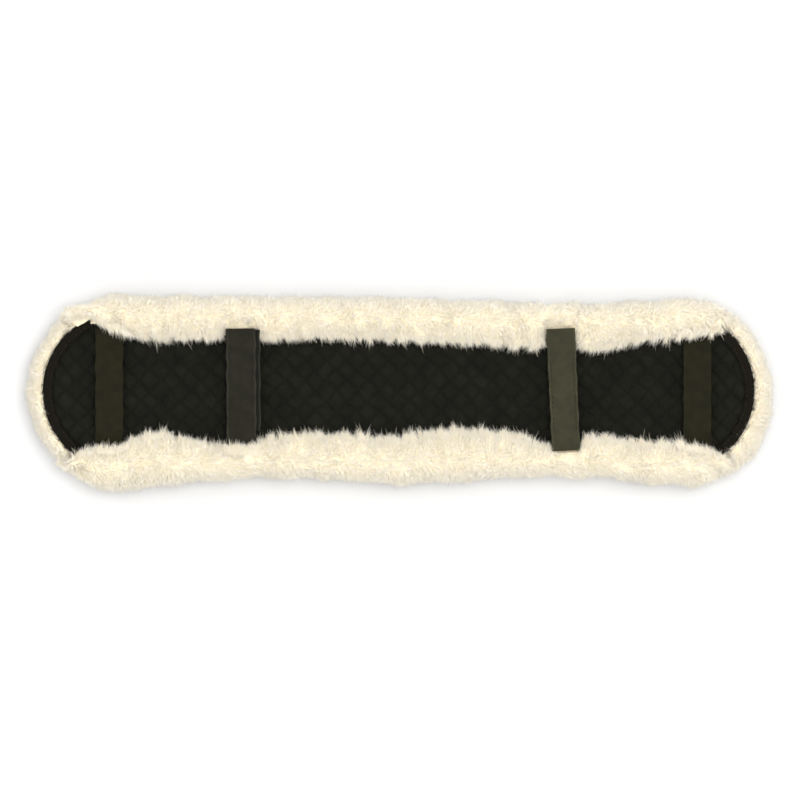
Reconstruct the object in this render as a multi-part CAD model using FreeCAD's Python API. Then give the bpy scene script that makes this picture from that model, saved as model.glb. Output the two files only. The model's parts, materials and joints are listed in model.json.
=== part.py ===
"""Sheepskin girth cover, millimetres, +Z up.

A padded sheepskin sleeve for a short saddle girth. It lies wool side down. The quilted black
face looks up, between two rolled sheepskin edges that run along X. The girth lies along X on
the quilting, pushed under an elastic loop at each end and held by two hook-and-loop closures.

The origin is the middle of the underside. +X is the right-hand end, +Y the rear rolled edge.
Each sub-part is written to parts/NAME.step.
"""

import FreeCAD, Part
import math
import os

V = FreeCAD.Vector

# Planform of the padded panel: two long sides, and an arc at each end.
PANEL_APEX = 319.5
PANEL_END_RADIUS = 72.0
PANEL_HALF_WIDTH = 64.0
ARC_CENTRE_X = PANEL_APEX - PANEL_END_RADIUS

# Planform of the wool, which stands out past the panel all round.
WOOL_APEX = 337.0
WOOL_HALF_WIDTH = 86.0
WOOL_FOOT_ROUND = 12.0
RIM_TOP = 30.0
RIM_ROUND = 7.0

# The stack, from the wool's foot upwards.
PILE_DEPTH = 24.0
HIDE = 2.0
FELT = 5.0
LINING = 0.8
WADDING = 4.2
COVER = 1.0
HIDE_Z = PILE_DEPTH
FELT_Z = HIDE_Z + HIDE
LINING_Z = FELT_Z + FELT
WADDING_Z = LINING_Z + LINING
COVER_Z = WADDING_Z + WADDING
QUILT_TOP = COVER_Z + COVER

# Rolled sheepskin edges: a strip of hide turned over the long sides, with its wool outwards.
ROLL_HIDE = 1.8
ROLL_GAP = 0.15
ROLL_SEAM_Y = 50.0
ROLL_WALL_IN = PANEL_HALF_WIDTH + ROLL_GAP
ROLL_WALL_OUT = ROLL_WALL_IN + ROLL_HIDE
ROLL_FLANGE_LOW = QUILT_TOP + ROLL_GAP
ROLL_FLANGE_TOP = ROLL_FLANGE_LOW + ROLL_HIDE
ROLL_CORNER = 6.0
ROLL_HIDE_SHORT = 3.0
ROLL_INNER_Y = 40.0
ROLL_CREST_Y = 66.0
ROLL_TOP = 50.0
ROLL_FOOT = 1.2
ROLL_WIDEST_Z = 24.0
ROLL_LOWER_BULGE = (80.0, 7.0)
ROLL_OUTER_SHOULDER = (80.5, 42.0)
ROLL_INNER_SHOULDER = (50.5, 47.0)
ROLL_SLOPE_X = 275.0
ROLL_TIP_X = 291.0
WOOL_CLEAR = 0.25
WOOL_UNDERCUT = 0.5

# Binding tape, folded over the end edges of the whole stack.
BINDING = 0.8
BINDING_WIDTH = 8.0
BINDING_GAP = 0.1
BINDING_INSIDE_CLEAR = 0.3
BINDING_END_Y = 58.0
BINDING_STITCH_INSET = 1.8
BINDING_STITCH_END_Y = 46.5

# Diamond quilting. The lines run at 45 degrees, and the pitch is square to them.
QUILT_PITCH = 13.2
QUILT_ANGLE = 45.0
QUILT_STEP = QUILT_PITCH / math.cos(math.radians(QUILT_ANGLE))
THREAD_WIDTH = 0.6
THREAD_HEIGHT = 0.25
THREAD_LIFT = 0.02
QUILT_VISIBLE_HALF = 47.0
QUILT_END_MARGIN = 1.0
SMALLEST_THREAD = 1.0

# Tapes. All are 25 mm wide.
ENDS = ("left", "right")
TAPE_WIDTH = 25.0
ELASTIC = 1.3
STRAP = 1.4
HOOK_TAPE = 1.1
LOOP_STRAP = 1.2
LOOP_TAPE = 0.8
PLY_GAP = 0.05
SEWN_GAP = 0.2
ELASTIC_X = {"left": -260.0, "right": 268.5}
ELASTIC_RISE = 6.2
ELASTIC_LIFT = 6.0
CLOSURE_X = {"left": -142.0, "right": 148.0}
CLOSURE_SKEW = {"left": 0.4, "right": 2.6}
HOOK_TAPE_SHIFT = {"left": 5.5, "right": 0.0}

# The fold line of each closure strap, where it turns back over its sewn end.
FOLD_Y = 52.0
HOOK_FOLD_Z = 43.6
LOOP_FOLD_Z = 42.8
FOLD_CLEAR = 1.2
HOOK_Z = 46.9
LOOP_Z = 43.2
HOOK_REACH = 56.0
HOOK_FREE_Z = 51.4
HOOK_ON_ROLL = (45.0, 49.8)
HOOK_LEVEL_FROM_Y = 38.0
HOOK_LEVEL_TO_Y = 36.0
HOOK_TAPE_END = (50.5, 50.6)
LOOP_REACH = 1.5
LOOP_LEVEL_FROM_Y = 44.0
LOOP_TAPE_FROM_Y = 36.0
LOOP_TAPE_MARGIN = 1.0
SEWN_END_Y = 43.0

# Room cut into the rolls where tapes are sewn in.
NOTCH_FROM_Y = 30.0
NOTCH_TO_Y = 62.0
NOTCH_SIDE = 2.5
ELASTIC_SIDE = 0.8
ELASTIC_END_Y = 56.5
ELASTIC_RAMP_Y = 48.5
ELASTIC_SEAT_Y = 47.0
ELASTIC_LEVEL_Y = 36.0

# Bend radii on a tape's centreline.
TAPE_BEND = 6.0
ELASTIC_BEND = 8.0
ROOT_BEND = 1.4

# Stitches.
STITCH = 3.4
STITCH_PITCH = 5.0
STITCH_THICK = 0.45
SEAM_STITCH_Y = 54.5
SEAM_END_X = 265.0
SEAM_TAPE_MARGIN = 4.0
STITCH_INSET = 2.2
STRAP_STITCH_REACH = 34.0
ABOVE_ALL = ROLL_TOP + 1.0


# How near an edge has to be to a level to count as on it.
TOUCH = 0.01


def yz(y, z):
    return V(0, y, z)


def planform(apex, radius, half_width, z):
    """A face at height z: two straight sides at +-half_width, and an arc of radius at each end."""
    centre = apex - radius
    tip = centre + math.sqrt(radius**2 - half_width**2)
    signs = ((1, -1), (1, 1), (-1, 1), (-1, -1))
    corners = [V(tip * along, half_width * across, z) for along, across in signs]
    edges = [
        Part.Arc(corners[0], V(apex, 0, z), corners[1]).toShape(),
        Part.LineSegment(corners[1], corners[2]).toShape(),
        Part.Arc(corners[2], V(-apex, 0, z), corners[3]).toShape(),
        Part.LineSegment(corners[3], corners[0]).toShape(),
    ]
    return Part.Face(Part.Wire(edges))


def plate(apex, radius, half_width, low, high):
    return planform(apex, radius, half_width, low).extrude(V(0, 0, high - low))


def panel_layer(low, high):
    return plate(PANEL_APEX, PANEL_END_RADIUS, PANEL_HALF_WIDTH, low, high)


def box(x0, x1, y0, y1, z0, z1):
    return Part.makeBox(x1 - x0, y1 - y0, z1 - z0, V(x0, y0, z0))


def mirrored_y(shape):
    return shape.mirror(V(0, 0, 0), V(0, 1, 0))


def mirrored_x(shape):
    return shape.mirror(V(0, 0, 0), V(1, 0, 0))


def save(name, shapes):
    """Writes one node. shapes is a solid or a list of separate solids."""
    solids = []
    for shape in shapes if isinstance(shapes, list) else [shapes]:
        solids += shape.Solids
    for solid in solids:
        if not solid.isValid() or solid.Volume <= 0:
            raise ValueError(name + " has a solid that is not valid")
    whole = solids[0] if len(solids) == 1 else Part.makeCompound(solids)
    whole.exportStep(os.path.join("parts", name + ".step"))
    print(name, len(solids), "solids,", round(whole.Volume / 1000, 2), "cm3")


# Ribbons: tapes that run across the cover in the YZ plane, with straight runs and tangent bends.


def bends(points, radius):
    """The centreline's runs and bends, as (start, end, centre, side). A run has no centre."""
    path = []
    start = points[0]
    for i in range(1, len(points) - 1):
        before = (points[i] - points[i - 1]).normalize()
        after = (points[i + 1] - points[i]).normalize()
        turn = before.y * after.z - before.z * after.y
        angle = math.acos(max(-1.0, min(1.0, before.dot(after))))
        reach = radius * math.tan(angle / 2)
        bend_in = points[i] - before * reach
        bend_out = points[i] + after * reach
        side = 1.0 if turn > 0 else -1.0
        centre = bend_in + V(0, -before.z, before.y) * radius * side
        path.append((start, bend_in, None, side))
        path.append((bend_in, bend_out, centre, side))
        start = bend_out
    path.append((start, points[-1], None, 0.0))
    return path


def offset_edges(points, radius, away):
    """The edges of the line that runs away (to its left) from the centreline."""
    edges = []
    for start, end, centre, side in bends(points, radius):
        if centre is None:
            along = (end - start).normalize()
            shift = V(0, -along.z, along.y) * away
            edges.append(Part.LineSegment(start + shift, end + shift).toShape())
            continue
        size = radius - side * away
        ends = [centre + (p - centre).normalize() * size for p in (start, end)]
        middle = centre + ((start + end) * 0.5 - centre).normalize() * size
        edges.append(Part.Arc(ends[0], middle, ends[1]).toShape())
    return edges


def ribbon(points, radius, low, high, width, x):
    """A tape between the offsets low and high of its centreline, width wide, centred on x."""
    near = offset_edges(points, radius, low)
    far = offset_edges(points, radius, high)
    first = Part.LineSegment(far[0].Vertexes[0].Point, near[0].Vertexes[0].Point).toShape()
    last = Part.LineSegment(near[-1].Vertexes[-1].Point, far[-1].Vertexes[-1].Point).toShape()
    outline = Part.Wire(Part.__sortEdges__(near + [last] + far + [first]))
    face = Part.Face(outline)
    face.translate(V(x - width / 2, 0, 0))
    return face.extrude(V(width, 0, 0))


# The padded panel.


def hide_panel():
    return panel_layer(HIDE_Z, FELT_Z)


def felt_pad():
    return panel_layer(FELT_Z, LINING_Z)


def quilt_lining():
    return panel_layer(LINING_Z, WADDING_Z)


def quilt_wadding():
    return panel_layer(WADDING_Z, COVER_Z)


def quilt_cover():
    return panel_layer(COVER_Z, QUILT_TOP)


def quilting_threads(direction):
    """Diagonal lines of lockstitch on the cover, cut to the part between the seams and bindings.

    direction is 1 for the lines that rise towards +X, and -1 for those that fall, which lie over them.
    """
    low = QUILT_TOP + THREAD_LIFT
    if direction < 0:
        low += THREAD_HEIGHT + THREAD_LIFT
    margin = BINDING_WIDTH + QUILT_END_MARGIN
    field = plate(
        PANEL_APEX - margin, PANEL_END_RADIUS - margin, QUILT_VISIBLE_HALF, low, low + THREAD_HEIGHT
    )
    length = 3 * QUILT_VISIBLE_HALF
    count = int((PANEL_APEX + QUILT_VISIBLE_HALF) / QUILT_STEP)
    threads = []
    for i in range(-count, count + 1):
        line = Part.makeBox(length, THREAD_WIDTH, THREAD_HEIGHT, V(-length / 2, -THREAD_WIDTH / 2, low))
        line.rotate(V(0, 0, 0), V(0, 0, 1), QUILT_ANGLE * direction)
        line.translate(V(i * QUILT_STEP, 0, 0))
        threads += [s for s in line.common(field).Solids if s.Volume > SMALLEST_THREAD]
    return threads


# Wool and rolled edges.


def pillow(height, top_round):
    """The wool's whole outline as a block, rounded along its foot and along its top."""
    block = plate(WOOL_APEX, WOOL_HALF_WIDTH, WOOL_HALF_WIDTH, 0, height)
    foot = [e for e in block.Edges if e.BoundBox.ZMax < TOUCH]
    block = block.makeFillet(WOOL_FOOT_ROUND, foot)
    top = [e for e in block.Edges if e.BoundBox.ZMin > height - TOUCH]
    return block.makeFillet(top_round, top)


def underside_fleece():
    """The pile under the hide, with the rim of wool that stands up past the end bindings."""
    inside = ROLL_WALL_OUT + WOOL_CLEAR
    wool = pillow(RIM_TOP, RIM_ROUND)
    wool = wool.common(box(-WOOL_APEX, WOOL_APEX, -inside, inside, 0, RIM_TOP))
    edge = BINDING + BINDING_GAP + WOOL_CLEAR
    well = plate(PANEL_APEX + edge, PANEL_END_RADIUS + edge, inside, HIDE_Z - edge, ABOVE_ALL)
    return wool.cut(well)


def roll_hide():
    """The turned strip of hide along +Y: a wall outside the stack and a flange on the quilting."""
    straight = Part.makePolygon(
        [
            yz(ROLL_WALL_OUT - ROLL_CORNER, ROLL_FLANGE_TOP),
            yz(ROLL_SEAM_Y, ROLL_FLANGE_TOP),
            yz(ROLL_SEAM_Y, ROLL_FLANGE_LOW),
            yz(ROLL_WALL_IN, ROLL_FLANGE_LOW),
            yz(ROLL_WALL_IN, HIDE_Z),
            yz(ROLL_WALL_OUT, HIDE_Z),
            yz(ROLL_WALL_OUT, ROLL_FLANGE_TOP - ROLL_CORNER),
        ]
    )
    corner = corner_arc(ROLL_WALL_OUT, ROLL_FLANGE_TOP, ROLL_CORNER)
    face = Part.Face(Part.Wire(Part.__sortEdges__(straight.Edges + [corner])))
    tip = ARC_CENTRE_X + math.sqrt(PANEL_END_RADIUS**2 - PANEL_HALF_WIDTH**2)
    half = tip - ROLL_HIDE_SHORT
    face.translate(V(-half, 0, 0))
    strip = face.extrude(V(2 * half, 0, 0))
    zone = binding_zone(BINDING + BINDING_GAP + ROLL_GAP)
    return strip.cut(zone).cut(mirrored_x(zone))


def corner_arc(y, z, radius):
    """A quarter arc that rounds the outer corner at (y, z)."""
    inset = radius * (1 - math.sin(math.pi / 4))
    return Part.Arc(yz(y, z - radius), yz(y - inset, z - inset), yz(y - radius, z)).toShape()


def roll_fleece_profile():
    """The wool round the turned strip along +Y, in the YZ plane."""
    wall = ROLL_WALL_OUT + WOOL_CLEAR + SEWN_GAP
    bed = ROLL_FLANGE_TOP + STITCH_THICK + WOOL_CLEAR
    behind_hide = ROLL_SEAM_Y - WOOL_UNDERCUT
    low = ROLL_FLANGE_LOW + WOOL_UNDERCUT
    foot = yz(wall, ROLL_FOOT)
    side = yz(WOOL_HALF_WIDTH, ROLL_WIDEST_Z)
    crest = yz(ROLL_CREST_Y, ROLL_TOP)
    tip = yz(ROLL_INNER_Y, low + WOOL_UNDERCUT)
    hollow = Part.makePolygon([tip, yz(ROLL_INNER_Y, low), yz(behind_hide, low), yz(behind_hide, bed)])
    edges = hollow.Edges + [
        Part.Arc(foot, yz(*ROLL_LOWER_BULGE), side).toShape(),
        Part.Arc(side, yz(*ROLL_OUTER_SHOULDER), crest).toShape(),
        Part.Arc(crest, yz(*ROLL_INNER_SHOULDER), tip).toShape(),
        Part.LineSegment(yz(behind_hide, bed), yz(wall - ROLL_CORNER, bed)).toShape(),
        corner_arc(wall, bed, ROLL_CORNER),
        Part.LineSegment(yz(wall, bed - ROLL_CORNER), foot).toShape(),
    ]
    return Part.Face(Part.Wire(Part.__sortEdges__(edges)))


def tip_slope():
    """What is cut away above the right end of a roll, so that it runs down to the rim."""
    corners = [
        V(ROLL_SLOPE_X, 0, ABOVE_ALL),
        V(ROLL_TIP_X, 0, RIM_TOP),
        V(WOOL_APEX, 0, RIM_TOP),
        V(WOOL_APEX, 0, ABOVE_ALL),
        V(ROLL_SLOPE_X, 0, ABOVE_ALL),
    ]
    return Part.Face(Part.makePolygon(corners)).extrude(V(0, WOOL_HALF_WIDTH, 0))


def roll_fleece(side):
    """One rolled edge's wool. side is 1 for the rear (+Y) edge and -1 for the front edge."""
    face = roll_fleece_profile()
    face.translate(V(-WOOL_APEX, 0, 0))
    wool = face.extrude(V(2 * WOOL_APEX, 0, 0))
    wool = wool.common(pillow(ABOVE_ALL, RIM_ROUND))
    slope = tip_slope()
    zone = binding_zone(BINDING + BINDING_GAP + WOOL_CLEAR)
    for cutter in (slope, mirrored_x(slope), zone, mirrored_x(zone)):
        wool = wool.cut(cutter)
    if side < 0:
        wool = mirrored_y(wool)
    for end in ENDS:
        wool = wool.cut(elastic_notch(ELASTIC_X[end], side))
        wool = wool.cut(closure_notch(end, side))
    return wool


def elastic_notch(x, side):
    """Room in a roll for the end of an elastic loop, over its whole lift."""
    half = TAPE_WIDTH / 2 + ELASTIC_SIDE
    roof = ROLL_FLANGE_TOP + SEWN_GAP + ELASTIC + ELASTIC_LIFT + ELASTIC_SIDE
    end_y = ELASTIC_END_Y + ELASTIC_SIDE
    under_roll = box(x - half, x + half, NOTCH_FROM_Y, end_y, ROLL_FLANGE_LOW, roof)
    ramp = box(x - half, x + half, NOTCH_FROM_Y, ELASTIC_RAMP_Y, ROLL_FLANGE_LOW, ABOVE_ALL)
    notch = under_roll.fuse(ramp)
    return notch if side > 0 else mirrored_y(notch)


def closure_notch(end, side):
    """Room in a roll for a closure strap's sewn end, and for the strap to fold back."""
    half = TAPE_WIDTH / 2 + NOTCH_SIDE
    notch = box(-half, half, NOTCH_FROM_Y, NOTCH_TO_Y, ROLL_FLANGE_TOP, ABOVE_ALL)
    if side < 0:
        notch = mirrored_y(notch)
    return placed(notch, end)


# End bindings.


def binding_zone(edge):
    """The space that the right end's binding takes, grown outwards by edge."""
    low = HIDE_Z - edge
    high = QUILT_TOP + edge
    outer = plate(PANEL_APEX + edge, PANEL_END_RADIUS + edge, PANEL_HALF_WIDTH, low, high)
    radius = PANEL_END_RADIUS - BINDING_WIDTH - BINDING_INSIDE_CLEAR
    ring = outer.cut(Part.makeCylinder(radius, ABOVE_ALL, V(ARC_CENTRE_X, 0, 0)))
    return ring.common(box(ARC_CENTRE_X, WOOL_APEX, -WOOL_HALF_WIDTH, WOOL_HALF_WIDTH, 0, ABOVE_ALL))


def end_binding():
    """The right end's tape: a U section round the edge of the whole stack, along the end arc."""
    size = PANEL_END_RADIUS + BINDING_GAP
    low = HIDE_Z - BINDING_GAP
    high = QUILT_TOP + BINDING_GAP
    inner = size - BINDING_WIDTH
    outer = size + BINDING
    section = [
        V(inner, 0, low - BINDING),
        V(outer, 0, low - BINDING),
        V(outer, 0, high + BINDING),
        V(inner, 0, high + BINDING),
        V(inner, 0, high),
        V(size, 0, high),
        V(size, 0, low),
        V(inner, 0, low),
        V(inner, 0, low - BINDING),
    ]
    half_angle = math.degrees(math.asin(BINDING_END_Y / size))
    face = Part.Face(Part.makePolygon(section))
    face.rotate(V(0, 0, 0), V(0, 0, 1), -half_angle)
    tape = face.revolve(V(0, 0, 0), V(0, 0, 1), 2 * half_angle)
    tape.translate(V(ARC_CENTRE_X, 0, 0))
    seam_y = ROLL_SEAM_Y - BINDING_INSIDE_CLEAR
    flange = box(0, WOOL_APEX, seam_y, WOOL_HALF_WIDTH, QUILT_TOP, ABOVE_ALL)
    return tape.cut(flange).cut(mirrored_y(flange))


def stitch(x, y, z, angle):
    """One stitch of a seam: a short piece of thread that lies on the level z, turned by angle about Z."""
    thread = Part.makeBox(STITCH, STITCH_THICK, STITCH_THICK, V(-STITCH / 2, -STITCH_THICK / 2, 0))
    thread.rotate(V(0, 0, 0), V(0, 0, 1), angle)
    thread.translate(V(x, y, z))
    return thread


def binding_stitches():
    """The row of stitches along the right end's binding, just inside its inner edge."""
    radius = PANEL_END_RADIUS - BINDING_WIDTH + BINDING_STITCH_INSET
    z = QUILT_TOP + BINDING_GAP + BINDING + THREAD_LIFT
    step = STITCH_PITCH / radius
    last = int(math.asin(BINDING_STITCH_END_Y / radius) / step)
    row = []
    for i in range(-last, last + 1):
        x = ARC_CENTRE_X + radius * math.cos(i * step)
        y = radius * math.sin(i * step)
        row.append(stitch(x, y, z, math.degrees(i * step) + 90))
    return row


def seam_stitches():
    """The row that holds the turned strip down along +Y, left out where tapes are sewn in."""
    z = ROLL_FLANGE_TOP + THREAD_LIFT
    last = int(SEAM_END_X / STITCH_PITCH)
    row = []
    for i in range(-last, last + 1):
        x = i * STITCH_PITCH
        to_tape = min(abs(x - tape) for tape in (*ELASTIC_X.values(), *CLOSURE_X.values()))
        if to_tape > TAPE_WIDTH / 2 + SEAM_TAPE_MARGIN:
            row.append(stitch(x, SEAM_STITCH_Y, z, 0))
    return row


# Tapes that hold the girth.


def placed(shape, end):
    """Turns a closure part by its skew, and moves it from x = 0 to its end of the cover."""
    shape.rotate(V(0, 0, 0), V(0, 0, 1), CLOSURE_SKEW[end])
    shape.translate(V(CLOSURE_X[end], 0, 0))
    return shape


def end_elastic(end):
    """A flat elastic loop, sewn down at both ends and standing clear of the quilting between."""
    seat = ROLL_FLANGE_TOP + SEWN_GAP + ELASTIC / 2
    crown = QUILT_TOP + ELASTIC_RISE
    half = [yz(ELASTIC_LEVEL_Y, crown), yz(ELASTIC_SEAT_Y, seat), yz(ELASTIC_END_Y, seat)]
    line = [yz(-p.y, p.z) for p in reversed(half)] + half
    return ribbon(line, ELASTIC_BEND, -ELASTIC / 2, ELASTIC / 2, TAPE_WIDTH, ELASTIC_X[end])


HOOK_LINE = [
    yz(-FOLD_Y, HOOK_FOLD_Z),
    yz(-HOOK_LEVEL_FROM_Y, HOOK_Z),
    yz(HOOK_LEVEL_TO_Y, HOOK_Z),
    yz(*HOOK_ON_ROLL),
    yz(HOOK_REACH, HOOK_FREE_Z),
]
LOOP_LINE = [yz(FOLD_Y, LOOP_FOLD_Z), yz(LOOP_LEVEL_FROM_Y, LOOP_Z), yz(LOOP_REACH, LOOP_Z)]


def hook_strap(end):
    """The upper strap from its fold: it crosses the cover and lies on the rear roll."""
    strap = ribbon(HOOK_LINE, TAPE_BEND, -STRAP / 2, STRAP / 2, TAPE_WIDTH, 0)
    return placed(strap, end)


def hook_strap_root(end):
    """The upper strap's other end: sewn flat to the front roll's hide, then turned up."""
    seat = ROLL_FLANGE_TOP + SEWN_GAP + STRAP / 2
    line = [yz(-SEWN_END_Y, seat), yz(-FOLD_Y, seat), yz(-FOLD_Y, HOOK_FOLD_Z - FOLD_CLEAR)]
    return placed(ribbon(line, ROOT_BEND, -STRAP / 2, STRAP / 2, TAPE_WIDTH, 0), end)


def hook_tape(end):
    """The hook side, sewn under the strap over nearly its whole length."""
    line = [yz(-HOOK_LEVEL_TO_Y, HOOK_Z)] + HOOK_LINE[2:4] + [yz(*HOOK_TAPE_END)]
    top = -STRAP / 2 - PLY_GAP
    tape = ribbon(line, TAPE_BEND, top - HOOK_TAPE, top, TAPE_WIDTH, HOOK_TAPE_SHIFT[end])
    return placed(tape, end)


def hook_strap_stitches(end):
    """Two rows along the strap's edges that hold the hook tape to it."""
    z = HOOK_Z + STRAP / 2 + THREAD_LIFT
    last = int(STRAP_STITCH_REACH / STITCH_PITCH)
    row = []
    for side in (-1, 1):
        x = side * (TAPE_WIDTH / 2 - STITCH_INSET)
        row += [stitch(x, i * STITCH_PITCH, z, 90) for i in range(-last, last + 1)]
    return [placed(s, end) for s in row]


def loop_strap(end):
    """The lower strap from its fold: it lies under the upper one, as far as the middle."""
    strap = ribbon(LOOP_LINE, TAPE_BEND, -LOOP_STRAP / 2, LOOP_STRAP / 2, TAPE_WIDTH, 0)
    return placed(strap, end)


def loop_strap_root(end):
    """The lower strap's other end: sewn flat to the rear roll's hide, then turned up."""
    seat = ROLL_FLANGE_TOP + SEWN_GAP + LOOP_STRAP / 2
    line = [yz(SEWN_END_Y, seat), yz(FOLD_Y, seat), yz(FOLD_Y, LOOP_FOLD_Z - FOLD_CLEAR)]
    return placed(ribbon(line, ROOT_BEND, -LOOP_STRAP / 2, LOOP_STRAP / 2, TAPE_WIDTH, 0), end)


def loop_tape(end):
    """The loop side, sewn on top of the lower strap."""
    line = [yz(LOOP_TAPE_FROM_Y, LOOP_Z), yz(LOOP_REACH + LOOP_TAPE_MARGIN, LOOP_Z)]
    low = -LOOP_STRAP / 2 - PLY_GAP
    tape = ribbon(line, TAPE_BEND, low - LOOP_TAPE, low, TAPE_WIDTH - LOOP_TAPE_MARGIN, 0)
    return placed(tape, end)


def main():
    os.makedirs("parts", exist_ok=True)
    save("underside_fleece", underside_fleece())
    save("hide_panel", hide_panel())
    save("felt_pad", felt_pad())
    save("quilt_lining", quilt_lining())
    save("quilt_wadding", quilt_wadding())
    save("quilt_cover", quilt_cover())
    save("quilting_thread_rising", quilting_threads(1))
    save("quilting_thread_falling", quilting_threads(-1))

    strip = roll_hide()
    save("rear_roll_hide", strip)
    save("front_roll_hide", mirrored_y(strip))
    save("rear_roll_fleece", roll_fleece(1))
    save("front_roll_fleece", roll_fleece(-1))
    row = seam_stitches()
    save("rear_seam_stitches", row)
    save("front_seam_stitches", [mirrored_y(s) for s in row])

    tape = end_binding()
    save("right_end_binding", tape)
    save("left_end_binding", mirrored_x(tape))
    row = binding_stitches()
    save("right_binding_stitches", row)
    save("left_binding_stitches", [mirrored_x(s) for s in row])

    for end in ENDS:
        save(end + "_end_elastic", end_elastic(end))
        save(end + "_hook_strap", hook_strap(end))
        save(end + "_hook_strap_root", hook_strap_root(end))
        save(end + "_hook_tape", hook_tape(end))
        save(end + "_hook_strap_stitches", hook_strap_stitches(end))
        save(end + "_loop_strap", loop_strap(end))
        save(end + "_loop_strap_root", loop_strap_root(end))
        save(end + "_loop_tape", loop_tape(end))


main()
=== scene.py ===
"""Looks of the sheepskin girth cover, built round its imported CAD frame.

Shapes are worked out in millimetres and become metres in add_mesh. The wool is a lumpy core under
separate tapered strands, gathered into locks. The quilted face is a cloth simulation held down
along its stitch lines. Tapes, bindings and stitches are modelled directly. Seeds are plain numbers,
so that the scene comes out the same each time.
"""

import json
import math

import bpy
import numpy as np
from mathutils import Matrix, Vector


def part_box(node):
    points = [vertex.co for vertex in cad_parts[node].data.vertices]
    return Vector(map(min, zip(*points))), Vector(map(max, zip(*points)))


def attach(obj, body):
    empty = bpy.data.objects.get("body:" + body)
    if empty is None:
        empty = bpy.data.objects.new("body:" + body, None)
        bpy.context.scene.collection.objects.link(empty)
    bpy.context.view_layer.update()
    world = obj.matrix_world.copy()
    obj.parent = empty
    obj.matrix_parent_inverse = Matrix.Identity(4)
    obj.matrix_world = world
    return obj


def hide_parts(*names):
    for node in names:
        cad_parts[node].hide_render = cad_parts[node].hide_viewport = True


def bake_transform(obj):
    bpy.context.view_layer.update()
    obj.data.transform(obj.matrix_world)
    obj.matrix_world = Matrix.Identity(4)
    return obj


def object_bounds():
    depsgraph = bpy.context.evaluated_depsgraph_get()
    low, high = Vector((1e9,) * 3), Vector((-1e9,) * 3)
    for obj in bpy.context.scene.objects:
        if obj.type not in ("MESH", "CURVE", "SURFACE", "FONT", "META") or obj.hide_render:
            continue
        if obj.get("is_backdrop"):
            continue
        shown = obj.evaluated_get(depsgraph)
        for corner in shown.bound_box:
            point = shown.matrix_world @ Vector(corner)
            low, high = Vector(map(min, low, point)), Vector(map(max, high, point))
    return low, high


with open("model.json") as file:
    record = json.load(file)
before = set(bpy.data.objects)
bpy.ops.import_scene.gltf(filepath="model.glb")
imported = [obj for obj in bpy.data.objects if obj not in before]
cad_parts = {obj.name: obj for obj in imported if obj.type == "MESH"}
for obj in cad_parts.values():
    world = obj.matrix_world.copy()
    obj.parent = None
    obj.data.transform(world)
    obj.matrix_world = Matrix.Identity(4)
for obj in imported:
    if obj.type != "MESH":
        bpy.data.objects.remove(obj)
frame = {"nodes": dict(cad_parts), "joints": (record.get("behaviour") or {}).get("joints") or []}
cad_low, cad_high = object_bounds()

MM = 0.001
UP = np.array([0, 0, 1.0])
ENDS = ("left", "right")
SIDES = {1: "rear", -1: "front"}


def node_box(node):
    """A CAD node's lowest and highest corners, in millimetres."""
    low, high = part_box(node)
    return np.array(low) / MM, np.array(high) / MM


# Sizes read from the frame, in millimetres.
PANEL_APEX, PANEL_HALF_WIDTH, _ = node_box("hide_panel")[1]
QUILT_BED, QUILT_TOP = (corner[2] for corner in node_box("quilt_cover"))
FLANGE_TOP = node_box("rear_roll_hide")[1][2]
WOOL_APEX = node_box("underside_fleece")[1][0]
WOOL_HALF_WIDTH = node_box("rear_roll_fleece")[1][1]
PANEL_END_RADIUS = 72.0
ARC_X = PANEL_APEX - PANEL_END_RADIUS
VALLEY = QUILT_BED - 0.7
JOINTS = {joint["name"]: joint for joint in frame["joints"]}

# -------------------------------------------------------------------- small helpers


def smooth(t):
    """An even step from 0 at t = 0 to 1 at t = 1."""
    t = np.clip(t, 0.0, 1.0)
    return t * t * (3 - 2 * t)


def mix(low, high, share):
    return low + (high - low) * share


def unit(vectors):
    return vectors / np.maximum(np.linalg.norm(vectors, axis=-1, keepdims=True), 1e-9)


def bumps(points, wavelength, seed, count=16):
    """A smooth random field of about unit size at points, from sine waves in random directions."""
    random = np.random.default_rng(seed)
    direction = unit(random.normal(size=(count, points.shape[-1])))
    waves = direction * (2 * math.pi / wavelength) * random.uniform(0.65, 1.5, (count, 1))
    phase = random.uniform(0, 2 * math.pi, count)
    return np.sin(points @ waves.T + phase).sum(-1) / math.sqrt(count / 2)


def add_mesh(name, points, face_sets, materials, shade=None, smooth_faces=True):
    """A mesh object from points in millimetres and arrays of faces with 3 or 4 corners.

    shade, when given, is the material index of each face.
    """
    mesh = bpy.data.meshes.new(name)
    mesh.vertices.add(len(points))
    mesh.vertices.foreach_set("co", (np.asarray(points) * MM).astype(np.float32).ravel())
    corners = np.concatenate([faces.ravel() for faces in face_sets]).astype(np.int32)
    totals = np.concatenate([np.full(len(faces), faces.shape[1]) for faces in face_sets]).astype(np.int32)
    starts = np.concatenate([[0], np.cumsum(totals)[:-1]]).astype(np.int32)
    mesh.loops.add(len(corners))
    mesh.loops.foreach_set("vertex_index", corners)
    mesh.polygons.add(len(totals))
    mesh.polygons.foreach_set("loop_start", starts)
    mesh.polygons.foreach_set("loop_total", totals)
    mesh.polygons.foreach_set("use_smooth", np.full(len(totals), smooth_faces))
    for material in materials:
        mesh.materials.append(material)
    if shade is not None:
        mesh.polygons.foreach_set("material_index", np.asarray(shade, np.int32))
    mesh.update(calc_edges=True)
    mesh.validate()
    piece = bpy.data.objects.new(name, mesh)
    bpy.context.scene.collection.objects.link(piece)
    return piece


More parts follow.
